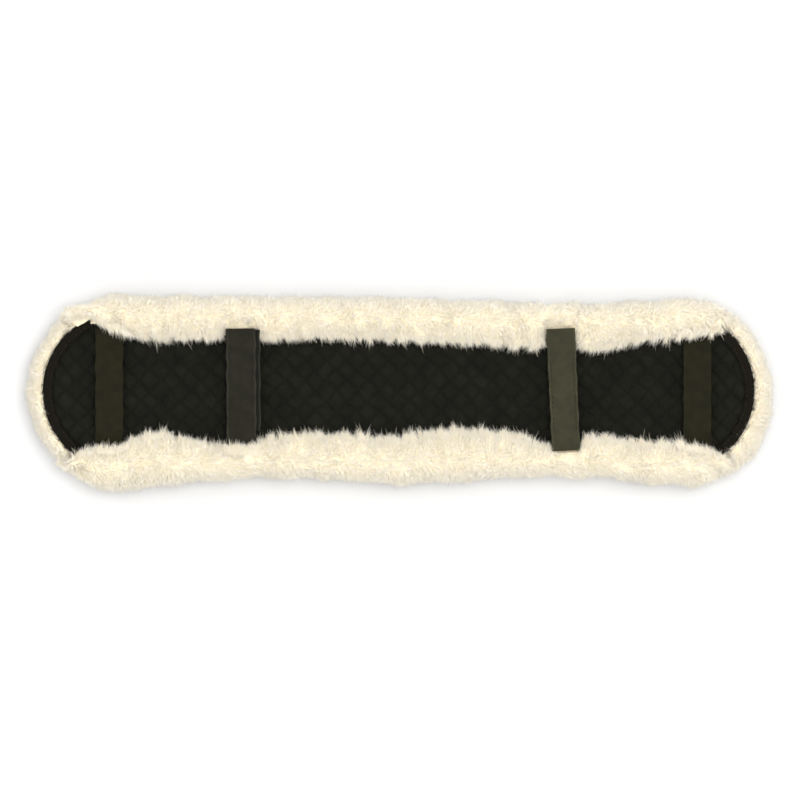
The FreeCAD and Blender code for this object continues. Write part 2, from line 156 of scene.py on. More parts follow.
def tube_faces(rows, columns):
    """Faces of a closed tube of rows rings, with a fan of triangles over each end."""
    i, j = np.meshgrid(np.arange(rows - 1) * columns, np.arange(columns), indexing="ij")
    after = (j + 1) % columns
    sides = np.stack([i + j, i + after, i + columns + after, i + columns + j], -1).reshape(-1, 4)
    k = np.arange(1, columns - 1)
    first = np.stack([0 * k, k + 1, k], -1)
    last = (rows - 1) * columns + np.stack([0 * k, k, k + 1], -1)
    return [sides, first, last]


def tube(name, grid, materials, sharp=None):
    """A closed tube from its rings of points, with edges sharper than sharp degrees left hard."""
    piece = add_mesh(name, grid.reshape(-1, 3), tube_faces(*grid.shape[:2]), materials)
    if sharp:
        piece.data.set_sharp_from_angle(angle=math.radians(sharp))
    return piece


def closed_curve(keys, per_span):
    """A smooth closed curve through keys (..., count, 2): Catmull-Rom, per_span points a span."""
    count = keys.shape[-2]
    s = (np.arange(per_span) / per_span)[:, None]
    out = []
    for i in range(count):
        a, b, c, d = (keys[..., (i + k) % count, None, :] for k in (-1, 0, 1, 2))
        square = (2 * a - 5 * b + 4 * c - d) * s**2
        cube = (3 * b - a - 3 * c + d) * s**3
        out.append(0.5 * (2 * b + (c - a) * s + square + cube))
    return np.concatenate(out, -2)


def settle(piece, slot, *nodes, body="cover"):
    """Hides the CAD nodes that a piece replaces and, unless it is blended, gives it its body; slot is not
    used.
    """
    if body:
        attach(piece, body)
    if nodes:
        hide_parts(*nodes)


# -------------------------------------------------------------------- materials


def srgb(red, green, blue):
    """A colour given as 0 to 255 display values, as the linear values that shaders take."""
    values = [c / 255 for c in (red, green, blue)]
    return [c / 12.92 if c <= 0.04045 else ((c + 0.055) / 1.055) ** 2.4 for c in values] + [1.0]


class Surface:
    """A node material round one Principled shader, with short calls for its usual parts."""

    def __init__(self, name, roughness=0.8, **sockets):
        self.material = bpy.data.materials.new(name)
        self.material.use_nodes = True
        self.nodes = self.material.node_tree.nodes
        self.links = self.material.node_tree.links
        self.shader = self.nodes["Principled BSDF"]
        self.shader.inputs["Roughness"].default_value = roughness
        for socket, value in sockets.items():
            self.shader.inputs[socket.replace("_", " ")].default_value = value
        self.place = self.nodes.new("ShaderNodeTexCoord").outputs["Object"]

    def node(self, kind, inputs, **settings):
        """The first output of a new node with these inputs, which may be linked sockets."""
        made = self.nodes.new(kind)
        for key, value in settings.items():
            setattr(made, key, value)
        for key, value in inputs.items():
            if isinstance(value, bpy.types.NodeSocket):
                self.links.new(value, made.inputs[key])
            else:
                made.inputs[key].default_value = value
        return made.outputs[0]

    def turned(self, degrees):
        """The place, turned about Z."""
        rotation = (0.0, 0.0, math.radians(degrees))
        return self.node("ShaderNodeMapping", {"Vector": self.place, "Rotation": rotation})

    def noise(self, size, detail=3.0):
        """Noise with features of about size millimetres."""
        inputs = {"Vector": self.place, "Scale": 1 / (size * MM), "Detail": detail}
        return self.node("ShaderNodeTexNoise", inputs)

    def wave(self, period, place=None, direction="X", distortion=0.0):
        """Sine bands, one each period millimetres."""
        scale = math.pi / 10 / (period * MM)
        inputs = {"Vector": place or self.place, "Scale": scale, "Distortion": distortion}
        return self.node("ShaderNodeTexWave", inputs, bands_direction=direction).node.outputs["Fac"]

    def raised(self, low, high):
        """0 at the height low and 1 at the height high, in millimetres."""
        level = self.node("ShaderNodeSeparateXYZ", {"Vector": self.place}).node.outputs["Z"]
        return self.node("ShaderNodeMapRange", {"Value": level, "From Min": low * MM, "From Max": high * MM})

    def plus(self, first, second):
        return self.node("ShaderNodeMath", {0: first, 1: second}, operation="ADD")

    def times(self, first, second):
        return self.node("ShaderNodeMath", {0: first, 1: second}, operation="MULTIPLY")

    def colour(self, value, *stops):
        """Colours the surface by value, through (position, colour) stops."""
        made = self.node("ShaderNodeValToRGB", {"Fac": value})
        band = made.node.color_ramp.elements
        while len(band) < len(stops):
            band.new(0.5)
        for element, (position, colour) in zip(band, stops):
            element.position = position
            element.color = colour
        self.links.new(made, self.shader.inputs["Base Color"])

    def roughness(self, value, low, high):
        made = self.node("ShaderNodeMapRange", {"Value": value, "To Min": low, "To Max": high})
        self.links.new(made, self.shader.inputs["Roughness"])

    def bump(self, height, distance):
        """Bump of distance millimetres."""
        made = self.node("ShaderNodeBump", {"Height": height, "Distance": distance * MM})
        self.links.new(made, self.shader.inputs["Normal"])


def wool_shade(name, colour):
    """One shade of wool fibre. Its colour is constant, and shades are mixed fibre by fibre."""
    s = Surface(name, Base_Color=srgb(*colour), Sheen_Weight=0.5, Sheen_Roughness=0.5,
                Specular_IOR_Level=0.2)
    fine = s.noise(0.6, 2.0)
    s.roughness(fine, 0.65, 0.95)
    s.bump(fine, 0.08)
    return s.material


def wool_core():
    """The depth of the wool, seen only between strands: painted a little darker than they are, as painted
    shade between them.
    """
    s = Surface("wool_core", Sheen_Weight=0.2, Sheen_Roughness=0.6, Specular_IOR_Level=0.15)
    s.colour(s.noise(5.0, 4.0), (0.3, srgb(224, 212, 181)), (0.7, srgb(235, 224, 195)))
    s.roughness(s.noise(2.0), 0.85, 1.0)
    s.bump(s.noise(1.6, 4.0), 0.9)
    return s.material


def quilt_cotton():
    """Black cotton twill with a fine diagonal weave, faded a little in patches, and painted lighter on the
    crowns and darker in the valleys as painted light and shade.
    """
    s = Surface("quilt_cotton", Sheen_Weight=0.03, Sheen_Roughness=0.45, Specular_IOR_Level=0.08)
    twill = s.wave(0.55, s.turned(62.0), distortion=0.6)
    patch = s.noise(16.0, 4.0)
    # Painted light and shade: the cloth is painted lighter with height, from the stitched valleys up to the
    # crowns.
    crown = s.times(s.raised(VALLEY, QUILT_TOP), 0.12)
    mottle = s.plus(s.times(twill, 0.2), s.times(patch, 0.8))
    s.colour(s.plus(mottle, crown), (0.3, srgb(7, 7, 4)), (0.6, srgb(17, 17, 11)), (0.9, srgb(27, 27, 19)))
    s.roughness(patch, 0.68, 0.9)
    s.bump(s.plus(twill, s.times(s.noise(1.2, 3.0), 0.8)), 0.12)
    return s.material


def tape_weave(name, dark, light, rib, cross, roughness=(0.45, 0.65)):
    """Woven tape: ribs along it (world Y) and picks across it."""
    s = Surface(name, Sheen_Weight=0.03, Sheen_Roughness=0.4, Specular_IOR_Level=0.08)
    ribs = s.wave(rib, direction="X")
    picks = s.wave(cross, direction="Y")
    weave = s.plus(s.times(ribs, 0.5), s.times(picks, 0.35))
    wear = s.noise(9.0, 4.0)
    s.colour(s.plus(s.times(weave, 0.45), s.times(wear, 0.6)), (0.25, srgb(*dark)), (0.75, srgb(*light)))
    s.roughness(wear, *roughness)
    s.bump(s.plus(weave, s.times(s.noise(0.7), 0.2)), 0.15)
    return s.material


def thread(name, dark, light):
    """Twisted sewing thread, or the nylon of the hooks and loops."""
    s = Surface(name, Sheen_Weight=0.05, Specular_IOR_Level=0.15)
    twist = s.wave(0.5, s.turned(35.0))
    s.colour(s.times(s.plus(twist, s.noise(3.0)), 0.5), (0.2, srgb(*dark)), (0.8, srgb(*light)))
    s.roughness(twist, 0.45, 0.7)
    s.bump(twist, 0.06)
    return s.material


def suede(name, dark, light, grain=0.8):
    """Tanned skin, felt, lining or wadding: mottled, matt and faintly grainy."""
    s = Surface(name, Sheen_Weight=0.15)
    s.colour(s.noise(7.0, 5.0), (0.3, srgb(*dark)), (0.7, srgb(*light)))
    s.roughness(s.noise(3.0), 0.75, 0.95)
    s.bump(s.noise(grain, 5.0), 0.25)
    return s.material


STRAP_SHINE = (0.42, 0.6)
WOOL_SHADES = [
    wool_shade("wool_light", (250, 243, 228)),
    wool_shade("wool_cream", (248, 240, 219)),
    wool_shade("wool_warm", (247, 237, 212)),
    wool_shade("wool_deep", (246, 235, 209)),
]
WOOL_CORE_SHADED = wool_core()
QUILT = quilt_cotton()
ELASTIC = tape_weave("elastic_weave", (14, 13, 3), (32, 30, 14), 1.3, 0.5, (0.55, 0.75))
# Both ends' straps are the same tape: the right strap and its selvedges are painted lighter than the left,
# as painted light for how the right strap tilts towards the lamp.
STRAP = {
    "left": tape_weave("left_strap_weave", (17, 16, 9), (37, 35, 25), 0.6, 0.35, STRAP_SHINE),
    "right": tape_weave("right_strap_painted_lighter", (37, 36, 25), (57, 56, 40), 0.6, 0.35, STRAP_SHINE),
}
# Selvedge bands, painted lighter than the tape: the selvedge's own line together with a painted highlight
# along the edges.
SELVEDGE_AND_HIGHLIGHT = {
    "left": tape_weave("left_selvedge", (27, 26, 18), (48, 46, 36), 0.6, 0.35),
    "right": tape_weave("right_selvedge", (42, 41, 29), (64, 63, 46), 0.6, 0.35),
}
# The hook side shows as a sliver beside the upper strap: its base is painted nearly black as painted shade
# in that gap, and its selvedges lighter as a painted highlight on the edge.
HOOK_SELVEDGE = tape_weave("hook_selvedge", (26, 26, 20), (44, 43, 35), 0.6, 0.35)
SHADED_HOOK_BASE = tape_weave("hook_base_weave", (9, 9, 7), (20, 20, 16), 0.8, 0.8)
HOOK_NYLON = thread("hook_nylon", (16, 16, 13), (32, 31, 26))
LOOP_NYLON = thread("loop_nylon", (30, 30, 27), (52, 51, 46))
BINDING = tape_weave("binding_weave", (5, 3, 0), (15, 10, 0), 0.7, 0.7, (0.5, 0.7))
DARK_THREAD = thread("dark_thread", (2, 2, 1), (9, 9, 7))
BINDING_THREAD = thread("binding_thread", (10, 7, 2), (22, 17, 8))
SUEDE = suede("hide_suede", (214, 198, 164), (232, 219, 190))
FELT = suede("pad_felt", (120, 120, 116), (158, 157, 150), 1.6)
LINING = suede("lining_cloth", (34, 34, 34), (52, 52, 50))
WADDING = suede("quilt_wadding_fibre", (222, 221, 216), (240, 239, 235), 2.2)

# -------------------------------------------------------------------- wool cores

# The wool runs round a loop: two straights along the rolls, joined by half circles at the ends.
LOOP_X = WOOL_APEX - WOOL_HALF_WIDTH
LOOP_RADIUS = 68.0
CORE_OUTER = 82.0
WALL = PANEL_HALF_WIDTH + 2.6
BINDING_OUTER = PANEL_END_RADIUS + 0.9
STRAND_REACH = 8.0
FLOOR_CLEAR = 0.3
ROLL_RINGS = 260
RIM_RINGS = 90
SPAN_POINTS = 5

# Where each roll's wool ends over the quilting: (distance along the loop, distance from the middle).
INNER_EDGE = {
    1: [(-280, 73), (-276, 66), (-273, 58), (-265, 53), (-247, 47.3), (-229, 44), (-118, 42.5),
        (-95, 44.5), (-63, 44.5), (-20, 43), (40, 40.5), (75, 39.5), (97, 37), (126, 35), (183, 33.5),
        (198, 36), (212, 40.5), (232, 43), (259, 45), (275, 48.5), (291, 56), (297, 73)],
    -1: [(-293.5, 73), (-290, 61), (-280, 51), (-253, 46), (-241, 41), (-220, 33), (-164, 46),
         (-90, 35.5), (-40, 36), (-18, 39.5), (10, 37.5), (40, 31.5), (80, 32.5), (110, 35.5),
         (119, 40), (126, 42), (133, 47), (140, 46), (162, 37.5), (183, 37), (194, 40), (232, 42.5),
         (259, 43.5), (275, 49), (288, 58), (292.5, 73)],
}
# How far each roll's outside stands out from an even oval: (distance along the loop, extra width).
OUTER_EDGE = {
    1: [(-290, 0.5), (-200, -1), (-110, -1.5), (0, -2.5), (100, -6), (185, -7.5), (250, -3.5), (290, 0)],
    -1: [(-290, 2), (-255, 4.5), (-216, -0.5), (-180, -4.5), (-125, -8.5), (-60, -6), (0, -2), (60, -5),
         (110, -9), (190, -8), (235, -1.5), (265, 0), (290, 4)],
}
# The same for the rims: (degrees round the loop's end from the rear, extra width).
RIM_EDGE = {
    1: [(33, 0), (70, 0), (95, 1), (122, 5), (147, 3)],
    -1: [(33, 0), (60, -2.5), (90, -0.5), (120, -2.5), (147, 0)],
}
# Key points round the rim's section: (share of the way from the binding's edge to the outside, up).
RIM_SEAT = 22.3
RIM_KEYS = [(-0.5, 3), (0.45, 2.2), (0.85, 9), (1.0, 19), (0.86, 28), (0.52, 33.5), (0.2, 34.5), (0.04, 32),
            (0.0, RIM_SEAT), (-0.5, RIM_SEAT)]

CLOSURES = {end: [JOINTS[f"{end}_{leaf}_fold"] for leaf in ("hook", "loop")] for end in ENDS}
FOLD_Y = 52.0
ELASTIC_BOXES = {end: node_box(end + "_end_elastic") for end in ENDS}
ELASTIC_X = {end: (low[0] + high[0]) / 2 for end, (low, high) in ELASTIC_BOXES.items()}
TAPE_HALF = (ELASTIC_BOXES["left"][1][0] - ELASTIC_BOXES["left"][0][0]) / 2


def closure_frame(end):
    """A closure's middle on the long axis, in millimetres, and the directions across and along it."""
    first, second = (np.array(joint["pos_m"]) / MM for joint in CLOSURES[end])
    middle = (first + second) / 2
    axis = np.array(CLOSURES[end][0]["axis"])
    return np.array([middle[0], middle[1], 0.0]), axis, np.array([-axis[1], axis[0], 0])


def in_closure(end, w, y, z):
    """The points at w across a closure's straps, y along them and the height z."""
    middle, axis, along = closure_frame(end)
    return middle + w * axis + y * along + z * UP


def across_closure(points, end):
    """Distance of points from a closure's middle line, square to its straps."""
    middle, axis, _ = closure_frame(end)
    return np.abs((points - middle) @ axis)


def loop_point(c, u, side):
    """Plan position of a point that lies c along the loop from x = 0 and u out from the long axis."""
    turn = np.maximum(np.abs(c) - LOOP_X, 0) / LOOP_RADIUS
    straight = np.clip(c, -LOOP_X, LOOP_X)
    return straight + np.sign(c) * u * np.sin(turn), side * u * np.cos(turn)


def binding_edge(turn):
    """How far out the outside of a binding is, at an angle of turn degrees round the loop's end."""
    offset = ARC_X - LOOP_X
    turn = np.radians(turn)
    return offset * np.sin(turn) + np.sqrt(BINDING_OUTER**2 - (offset * np.cos(turn)) ** 2)


def core_inner(c, side):
    """How far from the long axis a roll's core starts, clear of the tapes' sewn ends."""
    keys = np.array(INNER_EDGE[side], float)
    edge = np.interp(c, keys[:, 0], keys[:, 1])
    for shift in (-4, 4):
        edge = edge + np.interp(c + shift, keys[:, 0], keys[:, 1])
    inner = edge / 3 + STRAND_REACH + 0.9 * bumps(c[:, None], 17.0, 5 + side)
    seats = [(x, 1.0, 50.0) for x in ELASTIC_X.values()]
    for end in ENDS:
        middle, axis, _ = closure_frame(end)
        seats.append((middle[0] - side * FOLD_Y * axis[1], 1.2, 55.5))
    for x, room, start in seats:
        near = 1 - smooth((np.abs(c - x) - TAPE_HALF - room) / 4.0)
        inner = np.maximum(inner, inner + near * (start - inner))
    return inner


def roll_keys(c, side):
    """Key points (out, up) round a roll's section at each distance c along it.

    Towards the ends the roll sinks to the rim's height, and its lip leaves the quilting.
    """
    turn = np.degrees(np.maximum(np.abs(c) - LOOP_X, 0) / LOOP_RADIUS)
    inner = core_inner(c, side)
    wall = np.minimum(WALL / np.cos(np.radians(turn)), binding_edge(turn) + 0.5)
    full = 1 - smooth((turn - 16) / 22)
    lip = 1 - smooth((turn - 32) / 8)
    edge = np.array(OUTER_EDGE[side], float)
    outer = CORE_OUTER + 0.6 * bumps(c[:, None], 46.0, 11 + side) + np.interp(c, edge[:, 0], edge[:, 1])
    top = np.maximum(mix(28, 45.8, full), mix(0, 43.5, lip)) + 0.8 * bumps(c[:, None], 31.0, 21 + side)
    width = outer - inner
    keys = [
        (wall, 3.0),
        (mix(wall, outer, 0.5), 2.2),
        (outer - 1.8, 9.0),
        (outer, 21.0),
        (outer - 2.6, mix(25, 36.5, full)),
        (inner + 0.76 * width, mix(28, 43.4, full)),
        (inner + 0.50 * width, top),
        (inner + 0.25 * width, top - 0.9),
        (inner + 0.06 * width, np.minimum(mix(27, 43.0, lip), top - 1.2)),
        (inner, mix(25.5, 41.4, lip)),
        (inner + 1.2, mix(24, 40.3, lip)),
        (mix(inner, wall, 0.5), mix(23.5, 40.2, lip)),
        (wall - 2.2, mix(23, 38.9, lip)),
        (wall + 0.1, mix(22, 34.0, lip)),
    ]
    return np.stack([np.stack([out, up + 0 * c], -1) for out, up in keys], -2)


def grid_normals(points):
    """Outward normals of a tube stored as rings, whose columns run round it."""
    along = np.gradient(points, axis=0)
    around = np.roll(points, -1, 1) - np.roll(points, 1, 1)
    normals = unit(np.cross(along, around))
    outward = points - points.mean(1, keepdims=True)
    if (normals * outward).sum() < 0:
        normals = -normals
    return normals


def lumpy(x, y, z, size, seed):
    """A grid of surface points, moved along their normals by an uneven amount but kept off the floor."""
    points = np.stack([x, y, z], -1)
    depth = size * (0.7 * bumps(points, 15.0, seed) + 0.45 * bumps(points, 6.5, seed + 1))
    moved = points + grid_normals(points) * depth[..., None]
    moved[..., 2] = np.maximum(moved[..., 2], FLOOR_CLEAR)
    return moved


def roll_core(side):
    """The grid of one roll's core: rings of points along it."""
    reach = LOOP_X + LOOP_RADIUS * math.radians(41)
    c = np.linspace(-reach, reach, ROLL_RINGS)
    section = closed_curve(roll_keys(c, side), SPAN_POINTS)
    x, y = loop_point(c[:, None], section[..., 0], side)
    return lumpy(x, y, section[..., 1], size=0.55, seed=31 + side)


def rim_core(end):
    """The grid of the wool beyond one end binding. end is 1 for the right end and -1 for the left."""
    turn = np.radians(np.linspace(RIM_EDGE[end][0][0], RIM_EDGE[end][-1][0], RIM_RINGS))
    degrees = np.degrees(turn)
    inner = binding_edge(degrees) + 0.6
    edge = np.interp(degrees, *np.array(RIM_EDGE[end], float).T)
    outer = CORE_OUTER + 0.5 * bumps(degrees[:, None], 30.0, 41 + end) + edge
    keys = np.array(RIM_KEYS, float)
    out = inner[:, None] + keys[:, 0] * (outer - inner)[:, None]
    sunk = 0.75 * (1 - smooth((57 - np.abs(degrees - 90)) / 12))[:, None]
    up = np.where(keys[:, 1] > RIM_SEAT, mix(keys[:, 1], RIM_SEAT, sunk), keys[:, 1])
    section = closed_curve(np.stack([out, up], -1), SPAN_POINTS)
    x = end * (LOOP_X + section[..., 0] * np.sin(turn)[:, None])
    return lumpy(x, section[..., 0] * np.cos(turn)[:, None], section[..., 1], size=0.5, seed=51 + end)


def under_core():
    """The grid of the pile under the hide: rings across the cover, one after another along X."""
    half = WALL - 0.4
    across = 36
    x = (LOOP_X + half) * np.sin(np.linspace(-math.pi / 2, math.pi / 2, 180) * 0.985)
    beyond = np.maximum(np.abs(x) - LOOP_X, 0)
    width = np.sqrt(np.maximum(half**2 - beyond**2, 1.0))
    s = np.linspace(-1, 1, across)
    lower = 3.0 + 2.0 * np.abs(s) ** 12
    upper = 22.3 - 1.0 * np.abs(s) ** 12
    places = width[:, None] * np.concatenate([s, s[::-1]])
    height = np.concatenate([lower, upper[::-1]])
    grid = np.stack(np.broadcast_arrays(x[:, None], places, height[None, :]), -1).copy()
    grid[..., 2] += np.where(np.arange(2 * across) < across, 0.9 * bumps(grid, 13.0, 61), 0.0)
    grid[..., 2] = np.maximum(grid[..., 2], FLOOR_CLEAR)
    return grid


# -------------------------------------------------------------------- wool strands

SHARE = 1.0
PIECE_TRIANGLES = 190000
STRAND_TRIANGLES = 10
STRAND_RINGS = {2: [0.0, 0.5], 3: [0.0, 0.38, 0.74]}
SHADE_STEPS = [0.38, 0.66, 0.86]
WOOL_SLOT = "sheepskin_wool"


def surface_samples(grid, count, keep, random):
    """Random places on a tube's grid, even by area, with their normals. keep tells which to use."""
    a = grid[:-1]
    area = np.linalg.norm(np.cross(grid[1:] - a, np.roll(a, -1, 1) - a), axis=-1).ravel()
    picks = random.choice(area.size, count, p=area / area.sum())
    i, j = np.unravel_index(picks, a.shape[:2])
    s, t = random.random((2, count, 1))
    j_next = (j + 1) % grid.shape[1]

    def blend_corners(field):
        near = field[i, j] * (1 - s) + field[i + 1, j] * s
        far = field[i, j_next] * (1 - s) + field[i + 1, j_next] * s
        return near * (1 - t) + far * t

    points = blend_corners(grid)
    normals = unit(blend_corners(grid_normals(grid)))
    chosen = keep(points, normals)
    return points[chosen], normals[chosen]


def combed(points, normals, size, lean, flow, random):
    """Strand directions that follow the flow, drawn together into locks of about size.

    lean is how far strands lie over along the flow. Also returns each strand's lock.
    """
    stray = 0.15
    pull = 0.30
    cell = np.floor(points / size + 0.35 * bumps(points, size * 2.2, 71)[:, None]).astype(int)
    _, lock = np.unique(cell, axis=0, return_inverse=True)
    lock = lock.ravel()
    members = np.bincount(lock).astype(float)[:, None]

    def average(field):
        return np.stack([np.bincount(lock, field[:, k]) for k in range(3)], -1) / members

    centre = average(points)
    facing = unit(average(normals))

    def lying(field):
        return field - (field * facing).sum(-1, keepdims=True) * facing

    along = lying(flow(centre, facing))
    sway = lying(random.normal(size=facing.shape) * stray)
    drift = lying(np.stack([bumps(centre, 34.0, 73 + k) for k in range(3)], -1) * stray)
    aim = unit(facing + lean * along + 0.6 * sway + 0.7 * drift)
    inward = (centre[lock] - points) / size
    loose = random.normal(size=points.shape) * 0.16
    return unit(aim[lock] + pull * inward + loose), lock


def strand_mesh(name, base, direction, normals, length, width, random, rings=3, crimp=0.5, lock=None,
                materials=None):
    """Closed, tapered, three-sided strands, in the wool's shades lock by lock unless in materials."""
    count = len(base)
    t = np.array(STRAND_RINGS[rings])
    thick = (1 - 0.5 * t**1.5) * 0.5
    start = unit(0.55 * normals + 0.6 * direction)
    curl = random.normal(size=(count, 3)) * 0.22
    side = unit(np.cross(direction, random.normal(size=(count, 3))))
    other = np.cross(direction, side)
    phase = random.uniform(0, 2 * math.pi, count)
    tip = 3 * rings
    points = np.empty((count, tip + 1, 3))
    for k, value in enumerate([*t, 1.0]):
        straight = mix(start, direction, value) * value
        wave = crimp * np.sin(phase + 4.5 * value) * (value > 0)
        centre = base + length[:, None] * (straight + curl * value**2) + side * wave[:, None]
        if k == rings:
            points[:, tip] = centre
            break
        for corner in range(3):
            angle = 2 * math.pi * corner / 3
            offset = math.cos(angle) * side + math.sin(angle) * other
            points[:, 3 * k + corner] = centre + offset * (thick[k] * width[:, None])
    points[..., 2] = np.maximum(points[..., 2], FLOOR_CLEAR)
    turns = [(corner, (corner + 1) % 3) for corner in range(3)]
    quads = [(k + a, k + b, k + 3 + b, k + 3 + a) for k in range(0, tip - 3, 3) for a, b in turns]
    triangles = [(2, 1, 0)] + [(tip - 3 + a, tip - 3 + b, tip) for a, b in turns]
    starts = (np.arange(count) * (tip + 1))[:, None, None]
    faces = [(np.array(kind)[None] + starts).reshape(count * len(kind), -1) for kind in (quads, triangles)]
    lock = np.zeros(count, int) if lock is None else lock
    tint = random.random(lock.max() + 1)
    value = 0.55 * random.random(count) + 0.45 * tint[lock]
    shade = np.searchsorted(SHADE_STEPS, value) * (materials is None)
    per_face = np.concatenate([np.repeat(shade, len(kind)) for kind in (quads, triangles)])
    return add_mesh(name, points.reshape(-1, 3), faces, materials or WOOL_SHADES, per_face)


# Wool keeps off the elastics below this height and within this distance of the long axis.
ELASTIC_ROOM_TOP = 42.0
ELASTIC_ROOM_Y = 51.5
# It keeps off the closures' straps up to here, and is combed away from them beyond.
STRAP_ROOM_Y = 55.0
COMBED_Y = 64.0
COMBED_FLOOR = 38.0


def clear_of_tapes(points):
    """True where wool may grow: not under or through the tapes and the ways in which they move."""
    free = np.ones(len(points), bool)
    y = np.abs(points[:, 1])
    for end in ENDS:
        by_elastic = np.abs(points[:, 0] - ELASTIC_X[end]) < TAPE_HALF + 0.5
        free &= ~(by_elastic & (y < ELASTIC_ROOM_Y) & (points[:, 2] < ELASTIC_ROOM_TOP))
        free &= ~((across_closure(points, end) < TAPE_HALF + 0.7) & (y < STRAP_ROOM_Y))
    return free


def by_fold(points):
    """True where the wool is short and combed outwards, so that a strap can fold back over it."""
    across = np.minimum(*(across_closure(points, end) for end in ENDS))
    return (across < TAPE_HALF + 1.5) & (np.abs(points[:, 1]) < COMBED_Y) & (points[:, 2] > COMBED_FLOOR)


def grow(name, grid, keep, flow, count, seed, length=(6.4, 8.4), width=(0.40, 0.52), size=3.4, lean=2.1):
    """Covers a core with strands that lie along flow wherever keep is true, as pieces of a bounded size."""
    random = np.random.default_rng(seed)
    points, normals = surface_samples(grid, int(count * SHARE), keep, random)
    direction, lock = combed(points, normals, size, lean, flow, random)
    long = random.uniform(*length, len(points)) * (0.92 + 0.16 * random.random(lock.max() + 1)[lock])
    long[by_fold(points)] *= 0.55
    wide = random.uniform(*width, len(points)) / math.sqrt(SHARE)
    roots = points - 0.8 * normals
    order = np.argsort(points[:, 0], kind="stable")
    groups = np.array_split(order, max(1, math.ceil(len(points) * STRAND_TRIANGLES / PIECE_TRIANGLES)))
    for k, group in enumerate(groups):
        label = name if len(groups) == 1 else f"{name}_{k + 1}"
        _, own = np.unique(lock[group], return_inverse=True)
        piece = strand_mesh(label, roots[group], direction[group], normals[group], long[group], wide[group],
                            random, rings=2, lock=own.ravel())
        settle(piece, WOOL_SLOT)


def core_piece(name, grid, *nodes):
    settle(tube(name, grid, [WOOL_CORE_SHADED]), WOOL_SLOT, *nodes)


for side, place in SIDES.items():
    grid = roll_core(side)
    core_piece(place + "_roll_wool_core", grid, place + "_roll_fleece")

    def outside(points, normals, side=side):
        """True off the walls that the panel, the hide and the quilting hide."""
        x, y, z = np.abs(points.T)
        hidden = (y < 66.5) & (z < 40.0) & (x < 285)
        inner_wall = (normals[:, 1] * side < -0.75) & (z < 36) & (core_inner(points[:, 0], side) < 73)
        return ~hidden & ~inner_wall & clear_of_tapes(points)

    def flow(points, normals, side=side):
        """Outwards and down on the outer side and at the ends, and in over the quilting elsewhere."""
        inner = core_inner(points[:, 0], side)
        away = np.abs(points[:, 1]) - (inner + CORE_OUTER) / 2
        share = mix(np.clip(away / 10.0, -1, 1), 1.0, smooth((inner - 70.0) / 6.0))
        turn = share * math.pi / 2
        slant = np.cos(turn) + 0.3 * bumps(points[:, :1], 60.0, 77 + side)
        drop = np.where(share > 0, -0.5 * share, 0.1 * share)
        way = np.stack([slant, side * np.sin(turn), drop], -1)
        way[by_fold(points)] = (0.0, side * 2.4, -0.6)
        return way

    grow(place + "_roll_wool", grid, outside, flow, count=105000, seed=81 + side)


def lock_strands(name, bases, tips, random, loose, reach, width, crimp, clear=True):
    """Pointed locks of fine fibres, from bases (lock, fibre, xyz) to each lock's tip.

    loose scatters the fibres' ends and reach is their length as a share of the way. With clear,
    fibres that would meet a tape are left out.
    """
    lock = np.repeat(np.arange(len(tips)), bases.shape[1])
    aims = tips[:, None] - bases + random.normal(size=bases.shape) * np.array(loose)
    bases = bases.reshape(-1, 3)
    aims = aims.reshape(-1, 3)
    if clear:
        free = clear_of_tapes(bases) & clear_of_tapes(bases + aims)
        bases, aims, lock = bases[free], aims[free], lock[free]
    _, lock = np.unique(lock, return_inverse=True)
    length = np.linalg.norm(aims, axis=1) * random.uniform(*reach, len(aims))
    wide = random.uniform(*width, len(aims)) / math.sqrt(SHARE)
    aims = unit(aims)
    settle(strand_mesh(name, bases, aims, aims, length, wide, random, crimp=crimp, lock=lock), WOOL_SLOT)


# Which way the wool's edge lies: (distances along the loop, slants there towards +X).
WISP_SLANT = {
    1: ((-300, 60, 160, 300), (0.6, 0.45, -0.35, -0.5)),
    -1: ((-300, -150, 50, 300), (0.35, -0.2, -0.3, -0.2)),
}


def wisps(name, side, seed):
    """Locks that reach in over the quilting from a roll's inner edge."""
    random = np.random.default_rng(seed)
    reach = LOOP_X + LOOP_RADIUS * math.radians(33)
    c = np.arange(-reach, reach, 1.9)
    c = c + random.uniform(-0.9, 0.9, len(c))
    inner = core_inner(c, side)
    slant = np.interp(c, *WISP_SLANT[side]) + 0.2 * bumps(c[:, None], 40.0, 77 + side)
    slant = slant + random.normal(0, 0.2, len(c))
    long = random.uniform(4.3, 7.6, len(c)) * (1 + 0.2 * bumps(c[:, None], 9.0, seed))
    lift = np.full(len(c), 39.6)
    for x in ELASTIC_X.values():
        lift = np.where(np.abs(c - x) < TAPE_HALF + 3, 43.2, lift)
    tip_x, tip_y = loop_point(c + slant * long, inner - long, side)
    tips = np.stack([tip_x, tip_y, lift + random.uniform(-0.5, 0.9, len(c))], -1)
    spread = random.normal(size=(3, len(c), int(30 * SHARE) + 4))
    base_u = inner[:, None] + 1.6 + 1.1 * spread[0]
    base_x, base_y = loop_point(c[:, None] + 1.5 * spread[1], base_u, side)
    height = np.maximum(lift[:, None], 40.9) + 1.1 + 0.9 * np.abs(spread[2])
    bases = np.stack([base_x, base_y, height], -1)
    lock_strands(name, bases, tips, random, loose=(0.9, 0.9, 0.5), reach=(0.75, 1.1), width=(0.27, 0.38),
                 crimp=0.35)


